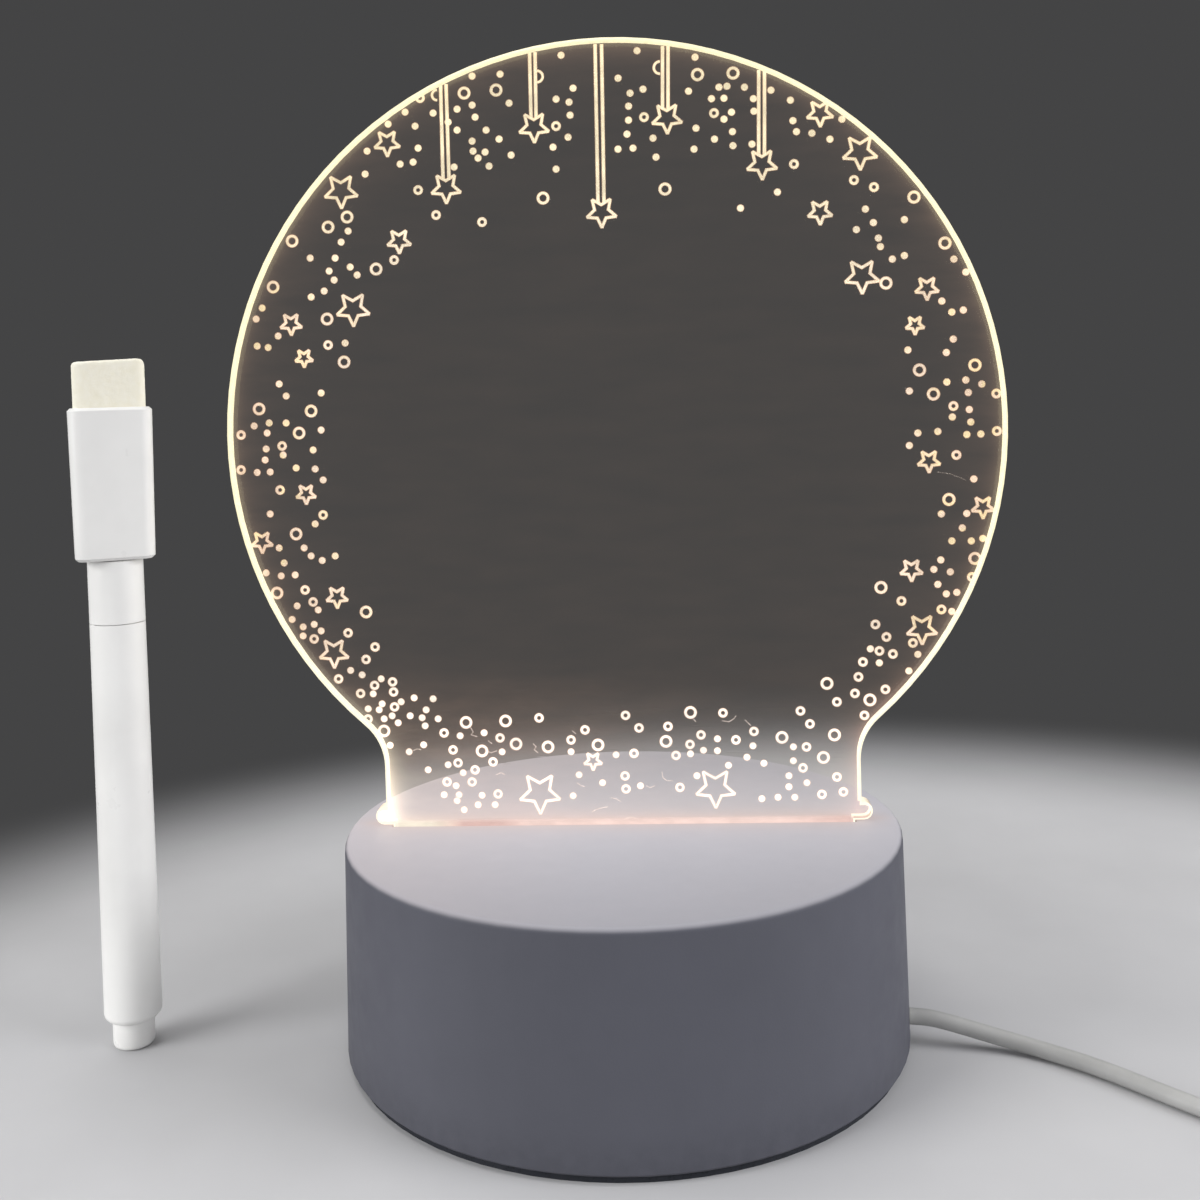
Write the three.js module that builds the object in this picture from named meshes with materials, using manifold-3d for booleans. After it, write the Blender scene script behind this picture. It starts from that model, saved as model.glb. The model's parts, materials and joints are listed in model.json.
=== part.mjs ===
// Led writing board: a clear acrylic board, lit through its lower edge by the round base that it
// stands in, with the cable that feeds the base and a capped marker with a felt eraser.
// Sizes are in millimetres. +Z is up, X runs along the board, and the board's front faces -Y.
// The origin is the centre of the base's foot, on the table.

import * as THREE from "three";
import { mergeVertices } from "three/addons/utils/BufferGeometryUtils.js";
import Module from "manifold-3d";

const wasm = await Module();
wasm.setup();

// Clearances that every piece shares
const restGap = 0.2; // between a piece and the face that it rests on
const slideGap = 0.3; // on each side of a piece that slides in another
const snugGap = 0.15; // round a piece that is pressed into another
const cordGap = 0.3; // between the end of a cable and what it meets
const overrun = 1; // how far a cutting shape runs past the face that it opens

// Base housing
const baseTopRadius = 50;
const baseDraft = 0.6; // how much wider the housing is at its foot
const baseHeight = 38; // from the table to the top face
const wallThickness = 2.2;
const roofThickness = 2.5;
const topEdgeRadius = 1.2;
const footChamfer = 0.4;

// Foot pad and bottom cover
const padThickness = 1;
const padSetback = 1; // from the housing's foot to the pad's edge
const coverThickness = 1.8;
const coverRimHeight = 2.4;
const coverRimThickness = 1.4;
const coverBossRadius = 3.6;
const coverBossAngle = THREE.MathUtils.degToRad(50); // from the board's plane to each boss

// Screws: the cover's, the led board's and the cable clamp's
const coverScrewRadius = 1.3;
const coverScrewLength = 9;
const coverScrewHeadRadius = 2.4;
const coverScrewHeadHeight = 1.1;
const smallScrewRadius = 0.9;
const smallScrewLength = 5;
const smallScrewHeadRadius = 1.7;
const smallScrewHeadHeight = 1;

// Writing board
const plateThickness = 4;
const discRadius = 70.3;
const neckHeight = 10.85; // from the base's top face to where the neck starts to flare
const neckMargin = 6.8; // from the neck's side to the edge of the base's top
const neckFilletRadius = 10;
const beadRadius = 1.6; // the rounded shoulder that sits on the base
const beadReach = 2; // how far the shoulder stands out past the neck
const tabInset = 1.2; // from the neck's side to the tab's side
const tabDepth = 9; // how deep the tab goes into the slot
const tabChamfer = 1;
const plateEdgeBevel = 0.4;

// Sleeve under the slot, and the led board that closes it
const sleeveWall = 1.6;
const sleeveDepth = 9.6; // below the roof
const ledBoardWidth = 18;
const ledBoardOverlap = 0.6; // how far the led board reaches past the sleeve's ends, less than the wall's room
const ledBoardThickness = 1.6;
const ledBoardCorner = 2;
const ledBossRadius = 2.6;
const ledBossShare = 0.78; // place of the led board's bosses along its half length
const ledCount = 8;
const ledLength = 3.5;
const ledWidth = 2.8;
const ledHeight = 1.2;
const ledPocketDepth = 0.5;
const ledPocketWall = 0.5;
const ledSpanShare = 0.84; // share of the slot's length that the leds fill
const solderGap = 0.1;
const resistorLength = 3.2;
const resistorWidth = 1.6;
const resistorHeight = 0.6;
const resistorPlaceShares = [-0.2, 0.2]; // along the led board's half length

// Cable, its grommet and its clamp in the base
const cableRadius = 1.4;
const cableExitHeight = 4.8;
const cableExitAngle = THREE.MathUtils.degToRad(-8); // from +X towards the front
const grommetWall = 0.9;
const grommetFlangeRadius = 3.2;
const grommetFlangeThickness = 1.2;
const coverNotchWidth = 7.6;
const coverNotchDepth = 3.6;
const clampShare = 0.75; // place of the clamp along the housing's radius
const clampSpan = 8.8; // between the clamp's two screws
const clampWidth = 5;
const clampThickness = 2.4;
const clampPostRadius = 1.9;
const clampBarEnd = 2.4; // from a screw to the bar's end
const tailBehindClamp = 5; // cable left past the clamp
const wireRadius = 0.55;
const wireSpacing = 1.6;
const wireSolderShare = 0.4; // place of the wires' joints along the led board's half length

// Switch on the cable
const switchLength = 25;
const switchWidth = 12;
const switchHeight = 7.4;
const switchCorner = 3.6;
const switchEdgeRound = 0.8;
const switchSeam = 0.1;
const switchFloor = 1.2;
const rockerLength = 8.6;
const rockerWidth = 4.6;
const rockerEndRise = 2.6; // from the pivot to the rocker's ends
const rockerMidRise = 1.9; // from the pivot to the dip in its middle
const rockerDepth = 2.2; // from the pivot to its underside
const rockerPlay = 0.6; // between the rocker's ends and the window
const rockerPinRadius = 0.9;
const rockerPinLength = 6.4;
const rockerPinDrop = 2.2; // from the case's top to the pivot
const rockerTilt = THREE.MathUtils.degToRad(7); // how far it leans in its pressed position

// Plug at the cable's end
const plugGripLength = 20;
const plugGripWidth = 15;
const plugGripHeight = 7.6;
const plugGripCorner = 2.4;
const plugGripRound = 0.8;
const plugReliefLength = 6;
const plugReliefRadius = 2.6;
const plugReliefTipRadius = 2;
const plugShellWidth = 12;
const plugShellHeight = 4.5;
const plugShellReach = 12; // out of the grip
const plugShellSocket = 5; // inside the grip
const plugShellWall = 0.4;
const plugShellCorner = 0.5;
const plugInsertHeight = 1.8;
const plugInsertSetback = 1.2; // from the shell's mouth
const plugHoleSize = 2.2; // the square latch holes
const plugHoleSpacing = 5.4;
const plugHoleSetback = 5.2; // from the shell's mouth

// Coil of the cable's spare length: layers of loops that wind in and out again
const coilLayers = 4;
const coilTurnsPerLayer = 2.0625;
const coilStepsPerTurn = 24;
const coilPitch = 3.35; // from one loop to the next
const coilLayerRise = 3.3;
const coilOuterRadius = 19.8;
const coilSides = 6;
const coilClimbTurns = 0.5; // a layer is climbed in half a turn

// Marker
const markerStandOff = 39.4; // from the base's foot to the marker's axis
const markerForward = 6.6; // in front of the board's plane
const markerTurn = THREE.MathUtils.degToRad(25); // the cap's flat side is turned towards the viewer
const endPlugRadius = 3.65;
const endPlugHeight = 5.1; // below the barrel
const endPlugStub = 6; // inside the barrel
const endPlugRound = 0.9;
const barrelLength = 72.3;
const barrelFootRadius = 5.05;
const barrelTopRadius = 4.8;
const barrelFootRound = 1.3;
const frontLength = 11.6; // of the front section between the barrel and the cap
const frontSeam = 0.1;
const frontSpigotLength = 7;
const frontNeckRadius = 4;
const frontNeckLength = 13;
const frontConeLength = 4;
const frontSnoutRadius = 2.4;
const frontSnoutLength = 2.5;
const nibRadius = 1.3;
const nibReach = 3.5; // past the snout
const nibTipRadius = 0.6;
const reservoirRadius = 3.4;
const capLength = 27.1;
const capWidth = 14.2;
const capDepth = 11.9;
const capTaper = 0.7; // how much narrower the cap is at its mouth
const capCorner = 2.2;
const capEdgeRound = 0.5;
const capRoof = 3.4;
const linerLength = 5.8;
const eraserHeight = 8.7; // above the cap
const eraserWidth = 12.3;
const eraserDepth = 10.1;
const eraserCorner = 1.8;
const eraserSeat = 1.5; // depth of the recess that it is glued into
const eraserCrown = 0.4;

// Numbers of flat sides on round pieces
const baseSides = 72;
const roundSides = 32;
const smallSides = 16;
const wireSides = 8;
const cornerSteps = 5;
const discSteps = 84;
const filletSteps = 8;
const plugCornerSteps = 2;

// Numbers of steps along the cable's stretches and along the wires
const leadSteps = 18;
const linkSteps = 6;
const endSteps = 12;
const wireSteps = 16;

// Sizes worked out from the ones above
const shellFoot = padThickness + restGap;
const baseFootRadius = baseTopRadius + baseDraft;
const innerTopRadius = baseTopRadius - wallThickness;
const innerFootRadius = baseFootRadius - wallThickness;
const roofUnderside = baseHeight - roofThickness;
const coverTop = shellFoot + coverThickness;
const coverRadius = innerFootRadius - slideGap;
const coverRimRadius = coverRadius - snugGap;
const coverRimBore = coverRimRadius - coverRimThickness;
const coverBossCentre = coverRimBore - slideGap - coverBossRadius;
const plateSeat = baseHeight + restGap;
const neckHalf = baseTopRadius - neckMargin;
const tabHalf = neckHalf - tabInset;
const neckFilletX = neckHalf + neckFilletRadius;
const discRise = neckHeight + Math.sqrt((discRadius + neckFilletRadius) ** 2 - neckFilletX ** 2);
const slotLength = 2 * (tabHalf + slideGap);
const slotWidth = plateThickness + 2 * slideGap;
const sleeveFoot = roofUnderside - sleeveDepth;
const ledBoardTop = sleeveFoot - restGap;
const ledBoardFoot = ledBoardTop - ledBoardThickness;
const ledBoardHalf = slotLength / 2 + sleeveWall + ledBoardOverlap;
const ledBossX = ledBossShare * ledBoardHalf;
const ledBossY = slotWidth / 2 + sleeveWall + ledBossRadius - snugGap;
const clampRadius = clampShare * baseTopRadius;
const tailEnd = clampRadius - clampWidth / 2 - tailBehindClamp;
const markerX = -(baseFootRadius + markerStandOff);
const markerY = -markerForward;
const markerBore = endPlugRadius + snugGap;
const barrelTop = endPlugHeight + barrelLength;
const capFoot = barrelTop + frontLength;
const capTop = capFoot + capLength;
const capBore = frontNeckRadius + slideGap;
const snoutTop = capFoot + frontNeckLength + frontConeLength + frontSnoutLength;
const nibTop = snoutTop + nibReach;
const capBoreTop = capTop - capRoof;

const housingRadiusAt = (z) => baseFootRadius - (baseDraft * (z - shellFoot)) / (baseHeight - shellFoot);

// Points of the cable between the base and the switch, chosen by hand: out of the wall, down to the
// table, across to the right and up into the switch.
const leadPoints = [
  [50.2, -7.05, 4.8],
  [53.4, -7.65, 4.75],
  [57, -8.35, 4.15],
  [60.8, -9.1, 3.3],
  [64.6, -9.9, 2.45],
  [68.4, -11.1, 1.8],
  [72.6, -13.5, 1.45],
  [77.2, -17.1, 1.42],
  [81.1, -20.8, 1.42],
  [84.7, -24.7, 1.42],
  [90.5, -30.9, 1.44],
  [94.6, -34.6, 1.5],
  [98.9, -37.5, 1.85],
  [103.2, -39.2, 2.75],
  [107.6, -39.95, 3.62],
  [110.7, -40, 3.7],
];
const switchStart = new THREE.Vector3(111, -40, 3.7);
const coilCentre = new THREE.Vector3(152, -20.2, 0);
// Points of the cable between the switch and the coil.
const linkPoints = [
  [136.3, -40, 3.7],
  [139.1, -40, 3.6],
  [142.4, -40, 2.55],
  [145.9, -40, 1.6],
  [148.9, -40, 1.4],
];
// Points of the cable between the top of the coil and the plug.
const endPoints = [
  [171.8, -17.1, 11.3],
  [171.8, -14.2, 11.25],
  [171.5, -9.2, 9.4],
  [170.7, -3.6, 5.4],
  [169.4, 1.6, 2.2],
  [168.3, 6, 1.7],
  [167.7, 9.6, 2.9],
  [167.5, 13.2, 3.75],
  [167.5, 16.2, 3.8],
];
const plugStart = new THREE.Vector3(167.5, 16.5, 3.8);

const whitePlastic = new THREE.MeshStandardMaterial({ color: 0xe9e8e6, roughness: 0.55 });
const basePlastic = new THREE.MeshStandardMaterial({ color: 0xa8a6b0, roughness: 0.6 });
const whiteRubber = new THREE.MeshStandardMaterial({ color: 0xdcdcd8, roughness: 0.6 });
const markerPlastic = new THREE.MeshStandardMaterial({ color: 0xe6e5df, roughness: 0.4 });
const blackRubber = new THREE.MeshStandardMaterial({ color: 0x14151a, roughness: 0.85 });
const clearAcrylic = new THREE.MeshStandardMaterial({
  color: 0xfff6dc,
  roughness: 0.05,
  transparent: true,
  opacity: 0.3,
});
const screwSteel = new THREE.MeshStandardMaterial({ color: 0xb8b8ba, roughness: 0.35, metalness: 0.9 });
const boardLaminate = new THREE.MeshStandardMaterial({ color: 0xf0efe8, roughness: 0.45 });
const ledAmber = new THREE.MeshStandardMaterial({ color: 0xffe2a0, emissive: 0xffd9a0, roughness: 0.3 });
const blackCeramic = new THREE.MeshStandardMaterial({ color: 0x1a1a1a, roughness: 0.5 });
const redVinyl = new THREE.MeshStandardMaterial({ color: 0xb02a22, roughness: 0.5 });
const blackVinyl = new THREE.MeshStandardMaterial({ color: 0x1c1c1e, roughness: 0.5 });
const blackFibre = new THREE.MeshStandardMaterial({ color: 0x101012, roughness: 0.9 });
const creamFelt = new THREE.MeshStandardMaterial({ color: 0xece6d2, roughness: 1 });
const inkFibre = new THREE.MeshStandardMaterial({ color: 0x26262c, roughness: 0.9 });

const device = new THREE.Group();

function addPiece(name, geometry, material, parent = device) {
  const mesh = new THREE.Mesh(geometry, material);
  mesh.name = name;
  parent.add(mesh);
  return mesh;
}

// A closed geometry as a solid that can be cut and joined.
function solid(geometry) {
  const bare = geometry.index ? geometry.toNonIndexed() : geometry.clone();
  bare.deleteAttribute("normal");
  bare.deleteAttribute("uv");
  const merged = mergeVertices(bare);
  return new wasm.Manifold(
    new wasm.Mesh({
      numProp: 3,
      vertProperties: merged.attributes.position.array,
      triVerts: new Uint32Array(merged.index.array),
    }),
  );
}

function geometryOf(body) {
  const mesh = body.getMesh();
  const geometry = new THREE.BufferGeometry();
  geometry.setAttribute("position", new THREE.BufferAttribute(mesh.vertProperties, 3));
  geometry.setIndex(new THREE.BufferAttribute(mesh.triVerts, 1));
  geometry.computeVertexNormals();
  return geometry;
}

const join = (first, ...others) => others.reduce((sum, next) => sum.add(solid(next)), solid(first));
const cut = (body, ...tools) => tools.reduce((left, tool) => left.subtract(solid(tool)), body);

// An upright round bar between two heights.
function rod(radius, bottom, top, x = 0, y = 0, sides = smallSides) {
  const bar = new THREE.CylinderGeometry(radius, radius, top - bottom, sides);
  return bar.rotateX(Math.PI / 2).translate(x, y, (bottom + top) / 2);
}

function block(sizeX, sizeY, bottom, top, x = 0, y = 0) {
  return new THREE.BoxGeometry(sizeX, sizeY, top - bottom).translate(x, y, (bottom + top) / 2);
}

// A profile of [radius, height] pairs turned about the Z axis; the order of its points doesn't matter.
function turned(profile, sides = roundSides) {
  const points = profile.map(([radius, height]) => new THREE.Vector2(radius, height));
  const ordered = THREE.ShapeUtils.isClockWise(points) ? points.reverse() : points;
  return new THREE.LatheGeometry(ordered, sides).rotateX(Math.PI / 2);
}

// Points [radius, height] of a quarter round from one angle to another about a centre.
function arc(centreX, centreZ, radius, from, to, steps = cornerSteps) {
  return Array.from({ length: steps + 1 }, (_, step) => {
    const angle = from + ((to - from) * step) / steps;
    return [centreX + radius * Math.cos(angle), centreZ + radius * Math.sin(angle)];
  });
}

// A rectangle with round corners as points that run anticlockwise about its centre.
function roundedOutline(width, depth, corner, steps = cornerSteps) {
  const reachX = width / 2 - corner;
  const reachY = depth / 2 - corner;
  const quarter = Math.PI / 2;
  return [
    ...arc(reachX, reachY, corner, 0, quarter, steps),
    ...arc(-reachX, reachY, corner, quarter, 2 * quarter, steps),
    ...arc(-reachX, -reachY, corner, 2 * quarter, 3 * quarter, steps),
    ...arc(reachX, -reachY, corner, 3 * quarter, 4 * quarter, steps),
  ];
}

// A closed solid through rings of points that all have the same count and turn the same way.
function loft(rings) {
  const count = rings[0].length;
  const indices = [];
  const last = (rings.length - 1) * count;
  for (let level = 0; level < rings.length - 1; level += 1) {
    for (let side = 0; side < count; side += 1) {
      const next = (side + 1) % count;
      const low = level * count;
      const high = low + count;
      indices.push(low + side, low + next, high + next, low + side, high + next, high + side);
    }
  }
  for (let side = 1; side < count - 1; side += 1) {
    indices.push(0, side + 1, side, last, last + side, last + side + 1);
  }
  const geometry = new THREE.BufferGeometry();
  const positions = rings.flat().flatMap((point) => point.toArray());
  geometry.setAttribute("position", new THREE.Float32BufferAttribute(positions, 3));
  geometry.setIndex(indices);
  geometry.computeVertexNormals();
  return geometry;
}

// A rounded rectangular bar between two heights, with its two end edges rounded over.
function softBar(width, depth, corner, bottom, top, round, widening = 0) {
  const levels = [
    [bottom, round],
    [bottom + round, 0],
    [top - round, 0],
    [top, round],
  ];
  return loft(
    levels.map(([height, inset]) => {
      const share = (height - bottom) / (top - bottom);
      const wide = width + widening * (share - 1) - 2 * inset;
      const deep = depth + widening * (share - 1) - 2 * inset;
      const outline = roundedOutline(wide, deep, corner - inset / 2);
      return outline.map(([x, y]) => new THREE.Vector3(x, y, height));
    }),
  );
}

// A round cable along a smooth curve through the points.
function cord(points, radius, steps, sides = wireSides) {
  const section = new THREE.Shape();
  arc(0, 0, radius, 0, 2 * Math.PI, sides)
    .slice(0, sides)
    .forEach(([x, y], corner) => (corner ? section.lineTo(x, y) : section.moveTo(x, y)));
  section.closePath();
  const path = new THREE.CatmullRomCurve3(points.map((point) => new THREE.Vector3(...point)));
  return new THREE.ExtrudeGeometry(section, { steps, curveSegments: sides, extrudePath: path });
}

// A screw whose head lies below the plane z = 0 and whose shank points up.
function screw(radius, length, headRadius, headHeight) {
  const tip = radius / 2;
  return turned(
    [
      [0, -headHeight],
      [headRadius - headHeight / 2, -headHeight],
      [headRadius, -headHeight / 2],
      [headRadius, 0],
      [radius, 0],
      [radius, length - radius],
      [tip, length],
      [0, length],
    ],
    smallSides,
  );
}

// The four places of the cover's bosses and screws.
const coverBossPlaces = [1, -1].flatMap((sideX) =>
  [1, -1].map((sideY) => [
    sideX * coverBossCentre * Math.cos(coverBossAngle),
    sideY * coverBossCentre * Math.sin(coverBossAngle),
  ]),
);

// The led board hangs from two bosses, one on each side of the sleeve.
const ledBossPlaces = [
  [ledBossX, ledBossY],
  [-ledBossX, -ledBossY],
];

function housingShell() {
  const quarter = Math.PI / 2;
  const crown = arc(baseTopRadius - topEdgeRadius, baseHeight - topEdgeRadius, topEdgeRadius, 0, quarter);
  return turned(
    [
      [0, roofUnderside],
      [innerTopRadius, roofUnderside],
      [innerFootRadius, shellFoot],
      [baseFootRadius - footChamfer, shellFoot],
      [baseFootRadius, shellFoot + footChamfer],
      ...crown,
      [0, baseHeight],
    ],
    baseSides,
  );
}

// A round radial bar at the height and angle at which the cable leaves the base.
function exitBar(radius, from, to) {
  const bar = new THREE.CylinderGeometry(radius, radius, to - from, smallSides);
  bar.rotateZ(-Math.PI / 2).translate((from + to) / 2, 0, cableExitHeight);
  return bar.rotateZ(cableExitAngle);
}

function baseHousing() {
  const sleeve = block(slotLength + 2 * sleeveWall, slotWidth + 2 * sleeveWall, sleeveFoot, roofUnderside + overrun);
  const bossTop = roofUnderside + overrun;
  const coverBosses = coverBossPlaces.map(([x, y]) => rod(coverBossRadius, coverTop + restGap, bossTop, x, y));
  const ledBosses = ledBossPlaces.map(([x, y]) => rod(ledBossRadius, sleeveFoot, bossTop, x, y));
  const coverPilots = coverBossPlaces.map(([x, y]) =>
    rod(coverScrewRadius + snugGap, coverTop - overrun, coverTop + coverScrewLength, x, y),
  );
  const ledPilots = ledBossPlaces.map(([x, y]) =>
    rod(smallScrewRadius + snugGap, sleeveFoot - overrun, sleeveFoot + smallScrewLength, x, y),
  );
  const slot = block(slotLength, slotWidth, sleeveFoot - overrun, baseHeight + overrun);
  const exitHole = exitBar(
    cableRadius + grommetWall + 2 * snugGap,
    innerTopRadius - wallThickness,
    baseFootRadius + overrun,
  );
  const body = join(housingShell(), sleeve, ...coverBosses, ...ledBosses);
  return geometryOf(cut(body, slot, exitHole, ...coverPilots, ...ledPilots));
}

function bottomCover() {
  const rimTop = coverTop + coverRimHeight;
  const rim = cut(
    solid(rod(coverRimRadius, coverTop - overrun, rimTop, 0, 0, baseSides)),
    rod(coverRimBore, coverTop - 2 * overrun, rimTop + overrun, 0, 0, baseSides),
  );
  const postTop = cableExitHeight;
  const posts = [1, -1].map((side) =>
    rod(clampPostRadius, coverTop - overrun, postTop, clampRadius, (side * clampSpan) / 2).rotateZ(cableExitAngle),
  );
  const pilots = [1, -1].map((side) =>
    rod(smallScrewRadius + snugGap, shellFoot + overrun / 2, postTop + overrun, clampRadius, (side * clampSpan) / 2)
      .rotateZ(cableExitAngle),
  );
  const screwHoles = coverBossPlaces.flatMap(([x, y]) => [
    rod(coverScrewRadius + snugGap, shellFoot - overrun, coverTop + overrun, x, y),
    rod(coverScrewHeadRadius + snugGap, shellFoot - overrun, shellFoot + coverScrewHeadHeight, x, y),
  ]);
  const notch = block(
    coverNotchDepth + 2 * overrun,
    coverNotchWidth,
    shellFoot - overrun,
    rimTop + overrun,
    coverRadius - coverNotchDepth / 2 + overrun,
  ).rotateZ(cableExitAngle);
  const plate = rod(coverRadius, shellFoot, coverTop, 0, 0, baseSides);
  return geometryOf(cut(join(plate, ...posts).add(rim), notch, ...screwHoles, ...pilots));
}

function addBase() {
  addPiece("base_housing", baseHousing(), basePlastic);
  addPiece("bottom_cover", bottomCover(), basePlastic);
  const pad = rod(baseFootRadius - padSetback, 0, padThickness, 0, 0, baseSides);
  addPiece("non_slip_pad", pad, blackRubber);
  coverBossPlaces.forEach(([x, y], index) => {
    const fastener = screw(coverScrewRadius, coverScrewLength, coverScrewHeadRadius, coverScrewHeadHeight - snugGap);
    const piece = addPiece(`cover_screw_${index + 1}`, fastener, screwSteel);
    piece.position.set(x, y, shellFoot + coverScrewHeadHeight - snugGap);
  });
}

// The outline of one half of the writing board, from the tab's foot up to the top of the disc.
function boardOutline() {
  const meetAngle = Math.atan2(neckHeight - discRise, neckFilletX);
  const beadX = neckHalf + beadReach - beadRadius;
  const beadTopAngle = Math.acos((beadRadius - beadReach) / beadRadius);
  const half = [
    [tabHalf - tabChamfer, -tabDepth],
    [tabHalf, tabChamfer - tabDepth],
    [tabHalf, 0],
    ...arc(beadX, beadRadius, beadRadius, -Math.PI / 2, beadTopAngle, filletSteps),
    ...arc(neckFilletX, neckHeight, neckFilletRadius, Math.PI, meetAngle + Math.PI, filletSteps),
    ...arc(0, discRise, discRadius, meetAngle, Math.PI / 2, discSteps / 2).slice(1),
  ];
  const otherHalf = half.slice(0, -1).map(([x, z]) => [-x, z]);
  return [...half, ...otherHalf.reverse()];
}

function addWritingBoard() {
  const outline = new THREE.Shape(boardOutline().map(([x, z]) => new THREE.Vector2(x, z)));
  const plate = new THREE.ExtrudeGeometry(outline, {
    depth: plateThickness - 2 * plateEdgeBevel,
    bevelThickness: plateEdgeBevel,
    bevelSize: plateEdgeBevel,
    bevelOffset: -plateEdgeBevel,
    bevelSegments: 1,
  });
  plate.rotateX(Math.PI / 2).translate(0, plateThickness / 2 - plateEdgeBevel, 0);
  addPiece("writing_board", plate, clearAcrylic).position.set(0, 0, plateSeat);
}

function ledBoard() {
  const outline = roundedOutline(2 * ledBoardHalf, ledBoardWidth, ledBoardCorner);
  const plate = loft([ledBoardFoot, ledBoardTop].map((z) => outline.map(([x, y]) => new THREE.Vector3(x, y, z))));
  const holes = ledBossPlaces.map(([x, y]) =>
    rod(smallScrewRadius + snugGap, ledBoardFoot - overrun, ledBoardTop + overrun, x, y),
  );
  return geometryOf(cut(solid(plate), ...holes));
}

function led() {
  const body = block(ledLength, ledWidth, 0, ledHeight);
  const lens = block(
    ledLength - 2 * ledPocketWall,
    ledWidth - 2 * ledPocketWall,
    ledHeight - ledPocketDepth,
    ledHeight + overrun,
  );
  return geometryOf(cut(solid(body), lens));
}

function addLights() {
  addPiece("led_board", ledBoard(), boardLaminate);
  ledBossPlaces.forEach(([x, y], index) => {
    const fastener = screw(smallScrewRadius, smallScrewLength, smallScrewHeadRadius, smallScrewHeadHeight);
    addPiece(`led_board_screw_${index + 1}`, fastener, screwSteel).position.set(x, y, ledBoardFoot - snugGap);
  });
  const pitch = (ledSpanShare * slotLength) / (ledCount - 1);
  for (let index = 0; index < ledCount; index += 1) {
    const place = (index - (ledCount - 1) / 2) * pitch;
    addPiece(`led_${index + 1}`, led(), ledAmber).position.set(place, 0, ledBoardTop + solderGap);
  }
  resistorPlaceShares.forEach((share, index) => {
    const chip = block(resistorLength, resistorWidth, -resistorHeight, 0);
    addPiece(`resistor_${index + 1}`, chip, blackCeramic).position.set(
      share * ledBoardHalf,
      ledBoardWidth / 4,
      ledBoardFoot - solderGap,
    );
  });
}

// The bar that holds the cable down between two posts of the cover, arched over the cable.
function clampBar() {
  const bottom = restGap;
  const bar = block(clampWidth, clampSpan + 2 * clampBarEnd, bottom, bottom + clampThickness);
  const arch = new THREE.CylinderGeometry(cableRadius + snugGap, cableRadius + snugGap, 2 * clampWidth, smallSides);
  arch.rotateZ(Math.PI / 2);
  const holes = [1, -1].map((side) =>
    rod(smallScrewRadius + snugGap, -overrun, clampThickness + 2 * overrun, 0, (side * clampSpan) / 2),
  );
  return geometryOf(cut(solid(bar), arch, ...holes));
}

// The soft bush that the cable passes through, turned about the cable.
function grommet() {
  const bore = cableRadius + snugGap;
  const outer = cableRadius + grommetWall;
  const flangeEnd = innerFootRadius - restGap - snugGap;
  const face = housingRadiusAt(cableExitHeight) - snugGap;
  return turned(
    [
      [bore, flangeEnd - grommetFlangeThickness],
      [grommetFlangeRadius, flangeEnd - grommetFlangeThickness],
      [grommetFlangeRadius, flangeEnd],
      [outer, flangeEnd],
      [outer, face],
      [bore, face],
      [bore, flangeEnd - grommetFlangeThickness],
    ],
    smallSides,
  ).rotateY(Math.PI / 2);
}

function addCableEntry() {
  const entry = new THREE.Group();
  entry.position.set(0, 0, cableExitHeight);
  entry.rotation.z = cableExitAngle;
  device.add(entry);
  addPiece("cable_grommet", grommet(), whiteRubber, entry);
  const face = housingRadiusAt(cableExitHeight) - snugGap;
  const tail = new THREE.CylinderGeometry(cableRadius, cableRadius, face - tailEnd, smallSides);
  tail.rotateZ(Math.PI / 2);
  addPiece("cable_tail", tail, whiteRubber, entry).position.set((face + tailEnd) / 2, 0, 0);
  addPiece("cable_clamp", clampBar(), whitePlastic, entry).position.set(clampRadius, 0, 0);
  [1, -1].forEach((side, index) => {
    const fastener = screw(smallScrewRadius, smallScrewLength, smallScrewHeadRadius, smallScrewHeadHeight);
    const piece = addPiece(`clamp_screw_${index + 1}`, fastener.rotateX(Math.PI), screwSteel, entry);
    piece.position.set(clampRadius, (side * clampSpan) / 2, restGap + clampThickness + snugGap);
  });
  // The cable's two wires run from its end up to the led board.
  const wires = [
    ["red_wire", 1, redVinyl],
    ["black_wire", -1, blackVinyl],
  ];
  wires.forEach(([name, side, vinyl]) => {
    const start = tailEnd - cordGap;
    const turn = wireSpacing;
    const aside = (side * wireSpacing) / 2;
    const height = ledBoardFoot - cordGap - cableExitHeight;
    const across = wireSolderShare * ledBoardHalf;
    const points = [
      [start, aside, 0],
      [start - turn, aside, 0],
      [(start + across) / 2, aside, turn],
      [across + turn / 2, aside, height / 3],
      [across, side * wireSpacing, height - 2 * turn],
      [across, side * wireSpacing, height],
    ];
    addPiece(name, cord(points, wireRadius, wireSteps), vinyl, entry);
  });
}

// A half of the switch's case: the lower one is rounded off at its foot and the upper one at its top.
function switchHalf(bottom, top, roundBottom) {
  const levels = roundBottom
    ? [
        [bottom, switchEdgeRound],
        [bottom + switchEdgeRound, 0],
        [top, 0],
      ]
    : [
        [bottom, 0],
        [top - switchEdgeRound, 0],
        [top, switchEdgeRound],
      ];
  return loft(
    levels.map(([height, inset]) =>
      roundedOutline(switchLength - 2 * inset, switchWidth - 2 * inset, switchCorner - inset / 2).map(
        ([x, y]) => new THREE.Vector3(x, y, height),
      ),
    ),
  );
}

const rockerPivot = switchHeight - rockerPinDrop;

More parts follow.
